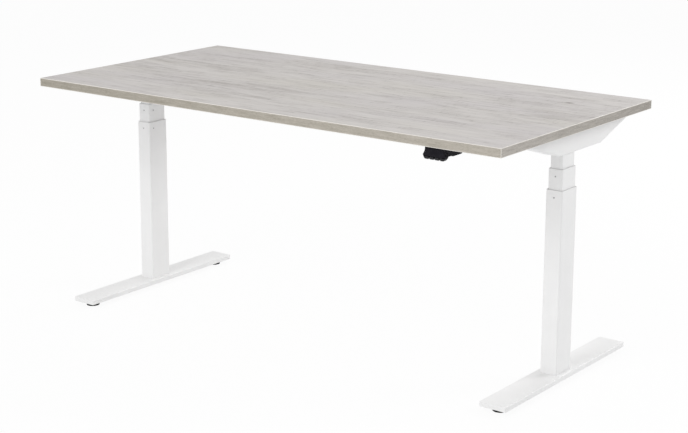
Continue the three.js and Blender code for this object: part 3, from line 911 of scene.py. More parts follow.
        def pressed(place: Vector) -> Vector:
            """Presses a point of the cylinder into the groove.

            Args:
                place: Any point of the piece.

            Returns:
                Its new place.
            """
            arm = (place - axis).xy
            if not (low < place.z < high and on_skin(place)):
                return place
            groove = rolled.groove(math.atan2(arm.y, arm.x), place.z)
            return place - arm.normalized().to_3d() * groove

        rings = (high - low) / rolled.pitch * rolled.rings
        first = math.ceil(math.sqrt(rings))
        before = len(self.object.data.vertices)
        for parts in (first, math.ceil(rings / first)):
            self._edit(bpy.ops.mesh.subdivide, "EDGE", on_shank, number_cuts=parts - 1)
        if len(self.object.data.vertices) == before:
            raise ValueError(f"{self.object.name} has no cylinder to thread")
        return self.reshape(pressed)

    def _apply(self, kind: str, **settings: object) -> Self:
        """Adds a modifier and applies it.

        Args:
            kind: The modifier's type.
            settings: Its attributes.

        Returns:
            The same workpiece.
        """
        self._activate()
        modifier = self.object.modifiers.new(kind.lower(), kind)
        for key, setting in settings.items():
            setattr(modifier, key, setting)
        bpy.ops.object.modifier_apply(modifier=modifier.name)
        return self

    def shell(self, wall: float) -> Self:
        """Gives an open skin a wall inwards."""
        return self._apply("SOLIDIFY", thickness=wall, offset=-1.0, use_even_offset=True)

    def clean(self) -> Self:
        """Merges doubled vertices and drops edges and faces without size."""
        self._edit(bpy.ops.mesh.remove_doubles, "FACE", threshold=SMALLEST)
        return self._edit(bpy.ops.mesh.dissolve_degenerate, "FACE", threshold=SMALLEST)

    def soften(self, width: float, segments: int = 2, angle: float = 40.0) -> Self:
        """Breaks the sharp edges.

        Args:
            width: How far the new edges lie from the old one.
            segments: How many faces replace an edge.
            angle: Edges sharper than this many degrees are broken.

        Returns:
            The same workpiece.
        """
        limit = {"limit_method": "ANGLE", "angle_limit": math.radians(angle)}
        size = {"width": width, "segments": segments, "use_clamp_overlap": True}
        return self.clean()._apply("BEVEL", **limit, **size)

    def _combine(self, tool: Self, operation: str) -> Self:
        """Applies a boolean with another workpiece and removes that one.

        Args:
            tool: The other workpiece.
            operation: "DIFFERENCE" or "UNION".

        Returns:
            The same workpiece.
        """
        self._apply("BOOLEAN", object=tool.object, operation=operation, solver="EXACT")
        bpy.data.objects.remove(tool.object)
        return self

    def cut(self, tool: Self) -> Self:
        """Cuts another workpiece's shape out."""
        return self._combine(tool, "DIFFERENCE")

    def weld(self, tool: Self) -> Self:
        """Joins another workpiece on."""
        return self._combine(tool, "UNION")

    def drill(self, radius: float, centre: Sequence[float], low: float, high: float) -> Self:
        """Drills an upright hole between two levels."""
        base = (centre[0], centre[1], low)
        return self.cut(Workpiece.disc("drill", radius, base, high - low, ROUND_SIDES))

    def join(self, other: Self) -> Self:
        """Takes another workpiece into this one's mesh as a loose part.

        Args:
            other: The other workpiece.

        Returns:
            This workpiece.
        """
        self._activate()
        other.object.select_set(True)
        bpy.ops.object.join()
        return self

    def copy(self, name: str, shift: Sequence[float] = (0, 0, 0)) -> Self:
        """Makes a moved copy with its own mesh.

        Args:
            name: The copy's name.
            shift: How far it is moved.

        Returns:
            The copy.
        """
        twin = self.object.copy()
        twin.data = self.object.data.copy()
        twin.name = name
        twin.data.name = name
        twin.data.transform(Matrix.Translation(shift))
        bpy.context.collection.objects.link(twin)
        return Workpiece(twin)

    def finish(self, coat: Coat, body: str, replaces: str = "", angle: float = 35.0) -> None:
        """Shades, dresses and places the piece.

        Args:
            coat: Its finish.
            body: The body that it moves with.
            replaces: The CAD node that it stands for, if it does.
            angle: Edges sharper than this many degrees stay sharp.
        """
        self.clean()._activate()
        bpy.ops.object.shade_smooth_by_angle(angle=math.radians(angle))
        self._apply("WEIGHTED_NORMAL", keep_sharp=True, weight=100)
        self.object.data.materials.clear()
        self.object.data.materials.append(coat.material)
        if replaces:
            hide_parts(replaces)
        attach(self.object, body)
        log.info("made %s on %s", self.object.name, body)


@dataclass
class Moulds:
    """The first example of each repeated piece, which all its finished copies come from."""

    examples: dict[str, tuple[Workpiece, Vector]] = field(default_factory=dict)

    def cast(
        self, kind: str, name: str, place: Sequence[float], model: Callable[[], Workpiece]
    ) -> Workpiece:
        """Copies a piece to its place, and models its example the first time.

        Args:
            kind: What the piece is.
            name: The copy's name.
            place: Where one chosen point of the piece lies.
            model: Models the piece at this place.

        Returns:
            The copy.
        """
        if kind not in self.examples:
            self.examples[kind] = (model(), Vector(place))
        example, first = self.examples[kind]
        return example.copy(name, Vector(place) - first)

    def clear(self) -> None:
        """Removes the examples, which aren't part of the desk."""
        for example, _ in self.examples.values():
            bpy.data.objects.remove(example.object)
        self.examples.clear()


def centre_of(node: str) -> Vector:
    """Middle of a CAD node's box."""
    low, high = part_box(node)
    return (Vector(low) + Vector(high)) / 2


def half_width(node: str) -> float:
    """Half of a CAD node's width along X."""
    low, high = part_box(node)
    return (high[0] - low[0]) / 2


class Drive(Enum):
    """Recess in a screw's head."""

    CROSS = "cross"
    HEX = "hex"


@dataclass(frozen=True)
class Screw:
    """Screw that is driven upwards, with a rounded head and a tapered tip."""

    head_height: float
    shank_radius: float
    drive: Drive
    recess: float
    rolled: Thread | None = None
    head_round: float = 0.45
    recess_share: float = 0.55
    tip_share: float = 0.35
    edge: float = mm(0.2)
    thread_ends: tuple[float, float] = (mm(0.6), mm(0.3))
    sides: int = 40

    def model(
        self, name: str, base: Sequence[float], head_radius: float, length: float
    ) -> Workpiece:
        """Models the screw.

        Args:
            name: The piece's name.
            base: Middle of the head's underside.
            head_radius: The head's radius.
            length: From the head's underside to the tip.

        Returns:
            The screw.
        """
        shank, head = self.shank_radius, self.head_height
        outline = [(head_radius, 0), (head_radius, head), (shank, head), (shank, length - shank)]
        outline.append((shank * self.tip_share, length))
        screw = Workpiece.turned(name, base, outline, self.sides)
        axis = Vector(base)

        def on_rim(middle: Vector, direction: Vector) -> bool:
            """Picks the rim of the head's underside."""
            return near(middle.z, base[2]) and (middle - axis).xy.length > shank

        screw.bevel(head * self.head_round, 4, on_rim)
        for tool in self._recess(axis, head * self.recess_share):
            screw.cut(tool)
        screw.soften(self.edge, angle=50.0)
        if self.rolled:
            lower, upper = self.thread_ends
            start, stop = base[2] + head + lower, base[2] + length - shank - upper
            screw.thread(self.rolled, axis, shank, start, stop)
        return screw

    def _recess(self, base: Vector, depth: float) -> Iterator[Workpiece]:
        """Tools that cut the recess.

        Args:
            base: Middle of the head's underside.
            depth: The recess's depth.

        Returns:
            Each tool in turn.
        """
        if self.drive is Drive.HEX:
            yield Workpiece.disc("hex", self.recess, base - Vector((0, 0, depth)), depth * 2, 6)
            return
        long, short = self.recess, self.recess / 5
        for x, y in ((long, short), (short, long)):
            arm = Vector((x, y, depth))
            yield Workpiece.block("arm", base - arm, base + arm)


# ---- Palette ----


class Palette:
    """The desk's coats."""

    def __init__(self) -> None:
        """Builds every material once."""
        low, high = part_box("edge_band_front")
        lengthwise = EdgeBand(Grain.LENGTHWISE, high[2], low[2], high[0])
        # The side bands carry the same print; their paler colours and steeper drift paint the
        # stronger light that falls on them.
        crosswise = replace(
            lengthwise,
            grain=Grain.CROSSWISE,
            pale=linear(188, 183, 176),
            dark=linear(145, 140, 133),
            drift=0.75,
            contrast=1.15,
        )
        black = MouldedPlastic("black_plastic", linear(25, 24, 29), linear(34, 33, 38), gloss=0.06)
        keys = MouldedPlastic("key_plastic", linear(22, 22, 26), linear(32, 32, 36), 0.3, 0.34)
        # The plate's plastic is darker than the housing's to paint the shadow under the desktop's
        # front edge.
        plate = MouldedPlastic("plate_plastic_painted_shadow", linear(13, 13, 16), linear(20, 20, 24), 0.6, 0.03)
        pad = MouldedPlastic("pad_plastic", linear(14, 14, 15), linear(26, 26, 27), 0.55, 0.1)
        glide = MouldedPlastic("glide_plastic", linear(150, 151, 152), linear(170, 171, 172))
        zinc = Metal("zinc_plate", linear(206, 208, 212), linear(176, 178, 184))
        motor = Metal("motor_can", linear(170, 172, 176), linear(140, 142, 148), 0.4)
        brass = Metal("brass_alloy", linear(202, 168, 96), linear(168, 134, 70))
        self.top = Coat(OakLaminate().material(), "laminate_top")
        self.edge_lengthwise = Coat(lengthwise.material(), "laminate_edge")
        self.edge_crosswise = Coat(crosswise.material(), "laminate_edge")
        self.paint = Coat(PowderCoat().material(), "white_paint")
        self.black = Coat(black.material(), "black_plastic")
        self.keys = Coat(keys.material(), "black_plastic")
        self.plate = Coat(plate.material(), "black_plastic")
        self.pad = Coat(pad.material(), "black_plastic")
        self.glide = Coat(glide.material(), "grey_plastic")
        self.zinc = Coat(zinc.material(), "zinc_steel")
        self.motor = Coat(motor.material(), "zinc_steel")
        self.brass = Coat(brass.material(), "brass")
        self.board = Coat(CircuitBoard().material(), "circuit_board")


# ---- Sub-assemblies ----


@dataclass
class Leg:
    """One lifting column with its foot, levelling feet and bracket."""

    side: str
    palette: Palette
    moulds: Moulds
    corner_segments: int = 8
    outer_radius: float = mm(5)
    middle_radius: float = mm(4.5)
    inner_radius: float = mm(4)
    tube_wall: float = mm(2)
    tube_edge: float = mm(0.25)
    seat_gap: float = mm(0.3)
    glide_wall: float = mm(0.9)
    glide_edge: float = mm(0.2)
    peg_radius: float = mm(1.9)
    peg_sink: float = mm(0.3)
    peg_drop: float = mm(20)
    peg_setback: float = mm(20)
    peg_drill: float = mm(8)
    peg_sides: int = 24
    thread_gap: float = mm(0.4)
    thread_start: float = mm(3)
    stand_radius: float = mm(6)
    stand_flange: tuple[float, float] = (mm(14), mm(5))
    stand_tip: tuple[float, float] = (mm(1.5), mm(2))
    stand_plain_end: float = mm(4)
    stand_thread: Thread = Thread(mm(5), mm(0.7), 2, 1, 5)
    lift_radius: float = mm(10)
    lift_bore: float = mm(7.4)
    lift_flange: tuple[float, float] = (mm(13.5), mm(4))
    lift_nut_end: float = mm(25)
    lift_plain_end: float = mm(2)
    lift_thread: Thread = Thread(mm(5), mm(0.7), 2, -1, 5)
    spindle_sides: int = 32
    spindle_edge: float = mm(0.4)
    block_edge: float = mm(0.6)
    drive_wall: float = mm(2.4)
    drive_socket: float = mm(15)
    drive_sides: int = 48
    drive_edge: float = mm(0.4)
    gearbox_corner: float = mm(3)
    gearbox_panel: tuple[float, float] = (mm(5), mm(1.2))
    gearbox_edge: float = mm(0.7)
    motor_cap: tuple[float, float] = (mm(17), mm(8))
    motor_sides: int = 64
    motor_edge: float = mm(1.2)
    base_corner: float = mm(3)
    base_edge: float = mm(0.5)
    screw_hole: float = mm(4.3)
    column_screw: Screw = Screw(mm(5), mm(4), Drive.HEX, mm(3.6), Thread(mm(1.25), mm(0.5)))
    desk_screw: Screw = Screw(mm(3), mm(2), Drive.CROSS, mm(2.7), Thread(mm(1.8), mm(0.5)))
    pad_height: float = mm(7)
    pad_sides: int = 72
    pad_flute: float = mm(0.5)
    pad_edge: float = mm(0.6)
    neck_radius: float = mm(10)
    stud_radius: float = mm(4)
    stud_plain_ends: tuple[float, float] = (mm(0.4), mm(0.8))
    stud_thread: Thread = Thread(mm(1.25), mm(0.5), rings=8)
    foot_corner: float = mm(4)
    foot_edge: float = mm(1.6)
    foot_rim: float = mm(0.3)
    foot_sheet: float = mm(3)
    bush_radius: float = mm(9)
    bush_cover: float = mm(1)
    bracket_sheet: float = mm(3)
    bracket_bend: float = mm(5)
    bracket_edge: float = mm(0.35)
    bracket_lip: float = mm(14)
    bracket_front_run: float = mm(168)
    bracket_rear_run: float = mm(152)
    bracket_tab: float = mm(22)
    bracket_tab_width: float = mm(40)
    bracket_tab_corner: float = mm(6)

    @property
    def inward(self) -> int:
        """Direction along X towards the middle of the desk."""
        return 1 if self.side == "left" else -1

    def node(self, name: str) -> str:
        """Full name of one of the leg's CAD nodes."""
        return f"{self.side}_{name}"

    def build(self) -> None:
        """Builds and dresses the whole leg."""
        paint, zinc, make = self.palette.paint, self.palette.zinc, self._make
        stages = (
            ("outer", self.outer_radius, "base"),
            ("middle", self.middle_radius, "middle_stage"),
        )
        for stage, radius, body in stages:
            node, model = f"{stage}_tube", partial(self._pegged_tube, radius=radius)
            make(node, f"{node}_skin", model, paint, body, kind=self.node(node))
        make("inner_tube", "inner_tube_skin", self._inner_tube, paint, DESK)
        make("foot", "foot_pan", self._foot, paint, "base")
        make("base_plate", "base_plate_slab", self._base_plate, zinc, "base")
        screws = (
            ("column_screw", self.column_screw, "base"),
            ("desk_screw", self.desk_screw, DESK),
        )
        for end in ENDS:
            node, body = f"levelling_foot_{end}", f"leveller_{end}"
            model, coat = self._levelling_foot, self.palette.pad
            make(node, f"{node}_pad", model, coat, body, kind="levelling_foot")
            for kind, screw, holder in screws:
                model = partial(self._screw, screw)
                make(f"{kind}_{end}", f"{kind}_{end}_bolt", model, zinc, holder, kind, 50.0)
        make("bracket", "bracket_channel", self._bracket, paint, DESK)
        for stage, radius, body in stages:
            node, model = f"{stage}_glide", partial(self._glide, radius=radius)
            make(node, f"{node}_collar", model, self.palette.glide, body, kind=self.node(node))
        make("stand_spindle", "stand_rod", self._stand_spindle, zinc, "base")
        make("lift_spindle", "lift_screw", self._lift_spindle, zinc, "lift_spindle_body")
        bearing = partial(self._bored_block, tube_radius=self.middle_radius)
        make("bearing_plate", "bearing_block", bearing, zinc, "middle_stage")
        nut = partial(self._bored_block, tube_radius=self.inner_radius)
        make("lift_nut", "lift_nut_block", nut, self.palette.brass, DESK)
        make("drive_tube", "drive_sleeve", self._drive_tube, zinc, "drive_tube_body")
        make("gearbox", "gear_case", self._gearbox, self.palette.black, DESK)
        make("motor", "motor_body", self._motor, self.palette.motor, DESK)

    def _make(
        self,
        node: str,
        name: str,
        model: Callable[[str], Workpiece],
        coat: Coat,
        body: str,
        kind: str = "",
        angle: float = 35.0,
    ) -> None:
        """Casts one piece over its CAD node and dresses it.

        Args:
            node: The CAD node, without its side.
            name: The piece's name, without its side.
            model: Models the piece over a node.
            coat: Its finish.
            body: The body that it moves with, without its side.
            kind: What it is cast as. Both legs share the node's own kind without it.
            angle: Edges sharper than this many degrees stay sharp.
        """
        whole = self.node(node)
        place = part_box(whole)[0]
        piece = self.moulds.cast(kind or node, self.node(name), place, partial(model, whole))
        piece.finish(coat, body if body == DESK else self.node(body), whole, angle)

    def _rounded_tube(self, node: str, radius: float) -> Workpiece:
        """Open tube with rounded corners over the box of a CAD tube."""
        tube = Workpiece.plate("tube", *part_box(node), radius, self.corner_segments)
        return tube.remove_faces(parallel_to("Z")).shell(self.tube_wall)

    def _pegs(self, tube: str, radius: float, start: float, length: float) -> Iterator[Workpiece]:
        """Round bars through a tube's front wall and its inward wall.

        Args:
            tube: The tube's CAD node.
            radius: The bars' radius.
            start: How deep below the wall's outside each bar begins.
            length: The bars' length.

        Returns:
            Each bar in turn.
        """
        low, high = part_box(tube)
        level = high[2] - self.peg_drop
        middle_x, side_y = (low[0] + high[0]) / 2, low[1] + self.peg_setback
        front = (middle_x, low[1] + start, level)
        yield Workpiece.disc("front_peg", radius, front, length, self.peg_sides, "Y")
        side = (high[0] - start - length if self.inward > 0 else low[0] + start, side_y, level)
        yield Workpiece.disc("side_peg", radius, side, length, self.peg_sides, "X")

    def _pegged_tube(self, node: str, radius: float) -> Workpiece:
        """Column tube with the two peg holes of its glide collar.

        Args:
            node: The tube's CAD node.
            radius: Radius of its corners.

        Returns:
            The tube.
        """
        tube = self._rounded_tube(node, radius)
        hole = self.peg_radius + self.seat_gap
        for drill in self._pegs(node, hole, -self.peg_drill / 2, self.peg_drill):
            tube.cut(drill)
        return tube.soften(self.tube_edge)

    def _inner_tube(self, node: str) -> Workpiece:
        """Innermost tube, welded to the bracket."""
        return self._rounded_tube(node, self.inner_radius).soften(self.tube_edge)

    def _glide(self, node: str, radius: float) -> Workpiece:
        """Collar that lines a tube's mouth, pegged through two of its walls.

        Args:
            node: The collar's CAD node.
            radius: Radius of the tube's corners.

        Returns:
            The collar.
        """
        tube = node.replace("glide", "tube")
        low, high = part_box(tube)
        bottom, top = (corner[2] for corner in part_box(node))
        inset = self.tube_wall + self.seat_gap
        collar = Workpiece.plate(
            "glide",
            (low[0] + inset, low[1] + inset, bottom),
            (high[0] - inset, high[1] - inset, top),
            radius - self.tube_wall,
        )
        collar.remove_faces(parallel_to("Z")).shell(self.glide_wall)
        length = inset + self.glide_wall / 2 - self.peg_sink
        for peg in self._pegs(tube, self.peg_radius, self.peg_sink, length):
            collar.weld(peg)
        return collar.soften(self.glide_edge, angle=60.0)

    def _foot(self, node: str) -> Workpiece:
        """Pressed steel pan with two threaded bushes under it.

        Args:
            node: Its CAD node.

        Returns:
            The foot.
        """
        low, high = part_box(node)
        foot = Workpiece.block("foot", low, high)
        foot.bevel(self.foot_corner, self.corner_segments, parallel_to("Z"))
        foot.bevel(self.foot_edge, 4, level_edges(high[2]))
        foot.remove_faces(facing_down).shell(self.foot_sheet)
        for end in ENDS:
            axis = centre_of(self.node(f"levelling_foot_{end}"))
            base, height = (axis.x, axis.y, low[2]), high[2] - low[2] - self.bush_cover
            foot.weld(Workpiece.disc("bush", self.bush_radius, base, height, ROUND_SIDES))
            foot.drill(self.screw_hole, axis, low[2] - PAST, high[2] - self.foot_sheet)
            hole = centre_of(self.node(f"column_screw_{end}"))
            foot.drill(self.screw_hole, hole, high[2] - SHEET_DRILL, high[2] + PAST)
        return foot.soften(self.foot_rim)

    def _levelling_foot(self, node: str) -> Workpiece:
        """Fluted pad on a threaded stud.

        Args:
            node: Its CAD node.

        Returns:
            The levelling foot.
        """
        low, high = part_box(node)
        axis, radius = centre_of(node), half_width(node)
        pad_top = low[2] + self.pad_height
        neck_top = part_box(self.node("foot"))[0][2] - self.seat_gap
        base = (axis.x, axis.y, low[2])
        pad = Workpiece.disc("pad", radius, base, self.pad_height, self.pad_sides)

        def every_other(centre: Vector, normal: Vector) -> bool:
            """Picks every second face round the rim."""
            turn = round(math.degrees(math.atan2(normal.y, normal.x)) * self.pad_sides / 360)
            return abs(normal.z) < 0.1 and bool(turn % 2)

        def end_at(level: float) -> Test:
            """Picks the end face on the axis at a level."""
            end = Vector((axis.x, axis.y, level))
            return lambda centre, normal: normal.z > 0.9 and near((centre - end).length, 0.0)

        pad.inset(self.pad_flute, every_other, -self.pad_flute, True)
        pad.inset(radius - self.neck_radius, facing_up)
        pad.extrude((0, 0, neck_top - pad_top), end_at(pad_top))
        pad.inset(self.neck_radius - self.stud_radius, end_at(neck_top))
        pad.extrude((0, 0, high[2] - neck_top), end_at(neck_top))
        pad.soften(self.pad_edge, 3, angle=50.0)
        lower, upper = self.stud_plain_ends
        start, stop = neck_top + lower, high[2] - upper
        return pad.thread(self.stud_thread, axis, self.stud_radius, start, stop)

    def _bracket(self, node: str) -> Workpiece:
        """Folded channel with rising ends and a screw tab at each end.

        Args:
            node: Its CAD node.

        Returns:
            The bracket.
        """
        low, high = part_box(node)
        front, rear = low[1] + self.bracket_tab, high[1] - self.bracket_tab
        lip = high[2] - self.bracket_lip
        rise = lip - low[2]
        channel = Workpiece.block("channel", (low[0], front, low[2]), (high[0], rear, high[2]))
        channel.slice_off((0, front, lip), (0, -rise, -self.bracket_front_run))
        channel.slice_off((0, rear, lip), (0, rise, -self.bracket_rear_run))
        channel.bevel(self.bracket_bend, 6, lambda middle, direction: middle.z < high[2] - mm(1))
        channel.remove_faces(facing_up).shell(self.bracket_sheet)
        middle_x, half = (low[0] + high[0]) / 2, self.bracket_tab_width / 2
        radius = self.desk_screw.shank_radius + self.seat_gap
        for end, start, stop in (("front", low[1], front + PAST), ("rear", rear - PAST, high[1])):
            tab = Workpiece.block(
                "tab",
                (middle_x - half, start, high[2] - self.bracket_sheet),
                (middle_x + half, stop, high[2]),
            )
            outer = start if end == "front" else stop
            tab.bevel(self.bracket_tab_corner, 5, upright_edges("Y", outer))
            hole = centre_of(self.node(f"desk_screw_{end}"))
            channel.weld(tab.drill(radius, hole, high[2] - SHEET_DRILL, high[2] + PAST))
        drive = self.node("drive_tube")
        bore = half_width(drive) + self.seat_gap
        channel.drill(bore, centre_of(drive), low[2] - PAST, low[2] + SHEET_DRILL)
        return channel.soften(self.bracket_edge)

    def _screw(self, kind: Screw, node: str) -> Workpiece:
        """Screw of a kind over the box of a CAD screw.

        Args:
            kind: The kind of screw.
            node: Its CAD node.

        Returns:
            The screw.
        """
        low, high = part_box(node)
        middle = centre_of(node)
        return kind.model("screw", (middle.x, middle.y, low[2]), half_width(node), high[2] - low[2])

    def _base_plate(self, node: str) -> Workpiece:
        """Steel plate in the foot of the outer tube, drilled for the column screws.

        Args:
            node: Its CAD node.

        Returns:
            The plate.
        """
        low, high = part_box(node)
        plate = Workpiece.plate("base_plate", low, high, self.base_corner)
        for end in ENDS:
            hole = centre_of(self.node(f"column_screw_{end}"))
            plate.drill(self.screw_hole, hole, low[2] - PAST, high[2] + PAST)
        return plate.soften(self.base_edge)

    def _stand_spindle(self, node: str) -> Workpiece:
        """Threaded spindle that stands on the base plate.

        Args:
            node: Its CAD node.

        Returns:
            The spindle.
        """
        low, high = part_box(node)
        axis, length, radius = centre_of(node), high[2] - low[2], self.stand_radius
        flange, thickness = self.stand_flange
        taper, tip = self.stand_tip
        outline = [(flange, 0), (flange, thickness), (radius, thickness)]
        outline += [(radius, length - tip), (radius - taper, length)]
        base = (axis.x, axis.y, low[2])
        spindle = Workpiece.turned("stand_spindle", base, outline, self.spindle_sides)
        start, stop = low[2] + thickness + self.thread_start, high[2] - self.stand_plain_end
        spindle.soften(self.spindle_edge)
        return spindle.thread(self.stand_thread, axis, radius, start, stop)

    def _lift_spindle(self, node: str) -> Workpiece:
        """Hollow spindle that turns on the stand spindle and carries the lift nut.

        Args:
            node: Its CAD node.

        Returns:
            The spindle.
        """
        low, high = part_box(node)
        axis, length, radius = centre_of(node), high[2] - low[2], self.lift_radius
        flange, thickness = self.lift_flange
        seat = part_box(self.node("bearing_plate"))[1][2] + self.seat_gap - low[2]
        outline = [(radius, 0), (radius, seat), (flange, seat), (flange, seat + thickness)]
        outline += [(radius, seat + thickness), (radius, length)]
        base = (axis.x, axis.y, low[2])
        spindle = Workpiece.turned("lift_spindle", base, outline, self.spindle_sides)
        spindle.drill(self.stand_radius + self.thread_gap, axis, low[2] - PAST, high[2] + PAST)
        spindle.drill(self.lift_bore, axis, low[2] + self.lift_nut_end, high[2] + PAST)
        spindle.soften(self.spindle_edge)
        start = low[2] + seat + thickness + self.thread_start
        return spindle.thread(self.lift_thread, axis, radius, start, high[2] - self.lift_plain_end)

    def _bored_block(self, node: str, tube_radius: float) -> Workpiece:
        """Block that fills a tube's section and is bored for the lift spindle.

        Args:
            node: Its CAD node.
            tube_radius: Radius of the tube's corners.

        Returns:
            The block.
        """
        low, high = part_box(node)
        block = Workpiece.plate("block", low, high, tube_radius - self.tube_wall)
        bore = self.lift_radius + self.thread_gap
        block.drill(bore, centre_of(node), low[2] - PAST, high[2] + PAST)
        return block.soften(self.block_edge)

    def _drive_tube(self, node: str) -> Workpiece:
        """Tube that passes the gearbox's turning on to the lift spindle.

        Args:
            node: Its CAD node.

        Returns:
            The tube.
        """
        low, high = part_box(node)
        axis, radius = centre_of(node), half_width(node)
        base, length = (axis.x, axis.y, low[2]), high[2] - low[2]
        tube = Workpiece.disc("drive_tube", radius, base, length, self.drive_sides)
        tube.drill(radius - self.drive_wall, axis, low[2] - PAST, high[2] + PAST)
        return tube.soften(self.drive_edge)

    def _gearbox(self, node: str) -> Workpiece:
        """Gearbox with sunk panels and a socket for the drive tube.

        Args:
            node: Its CAD node.

        Returns:
            The gearbox.
        """
        low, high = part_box(node)
        frame_width, sunk = self.gearbox_panel
        case = Workpiece.plate("gearbox", low, high, self.gearbox_corner)
        case.inset(frame_width, parallel_to("X", FLAT), -sunk, True)
        case.inset(frame_width, facing_up, -sunk, True)
        drive = self.node("drive_tube")
        bore = half_width(drive) + self.seat_gap
        case.drill(bore, centre_of(drive), low[2] - PAST, low[2] + self.drive_socket)
        return case.soften(self.gearbox_edge, 3)

    def _motor(self, node: str) -> Workpiece:
        """Motor can with a narrower cap at its rear end.

        Args:
            node: Its CAD node.

        Returns:
            The motor.
        """
        low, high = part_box(node)
        radius, length = half_width(node), high[1] - low[1]
        cap, cap_length = self.motor_cap
        step = length - cap_length
        outline = [(radius, 0), (radius, step), (cap, step), (cap, length)]
        base = ((low[0] + high[0]) / 2, low[1], (low[2] + high[2]) / 2)
        motor = Workpiece.turned("motor", base, outline, self.motor_sides, "Y")
        return motor.soften(self.motor_edge, 3)


@dataclass
class Desktop:
    """Laminated panel with its edge bands, and the rails under it."""

    palette: Palette
    moulds: Moulds
    arris: float = mm(1.4)
    seam: float = mm(0.12)
    pilot_radius: float = mm(2.3)
    rail_corner: float = mm(3)
    rail_wall: float = mm(2)

    def build(self) -> None:
        """Builds and dresses the panel, bands and rails."""
        self._panel()
        for side in ("front", "rear", "left", "right"):
            self._band(side)
        for end in ENDS:
            node = f"cross_rail_{end}"
            model = partial(self._rail, node)
            rail = self.moulds.cast("cross_rail", f"{node}_tube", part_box(node)[0], model)
            rail.finish(self.palette.paint, DESK, node)

    def _panel(self) -> None:
        """Panel with a hairline seam to its bands."""
        low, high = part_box("desktop_panel")
        panel = Workpiece.block("desktop_top", low, high)
        for screw in (f"{side}_desk_screw_{end}" for side in SIDES for end in ENDS):
            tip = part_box(screw)[1][2]
            panel.drill(self.pilot_radius, centre_of(screw), low[2] - PAST, tip + PAST)
        panel.soften(self.seam, 1).finish(self.palette.top, DESK, "desktop_panel")

    def _band(self, side: str) -> None:
        """Band with a rounded outer arris.

        Args:
            side: "front", "rear", "left" or "right".
        """
        node = f"edge_band_{side}"
        low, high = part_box(node)
        crosswise = side in SIDES
        axis = 0 if crosswise else 1
        outer = low[axis] if side in ("front", "left") else high[axis]

        def on_arris(middle: Vector, direction: Vector) -> bool:
            """Picks the long outer edges."""
            return near(middle[axis], outer) and abs(direction[1 - axis]) > 0.9

        band = Workpiece.block(f"{node}_strip", low, high)
        band.bevel(self.arris, 4, on_arris).soften(self.seam, 1, angle=60.0)
        coat = self.palette.edge_crosswise if crosswise else self.palette.edge_lengthwise
        band.finish(coat, DESK, node)

    def _rail(self, node: str) -> Workpiece:
        """Rectangular tube between the brackets."""
        rail = Workpiece.block("rail", *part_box(node)).bevel(self.rail_corner, 5, parallel_to("X"))
        return rail.remove_faces(parallel_to("X")).shell(self.rail_wall)


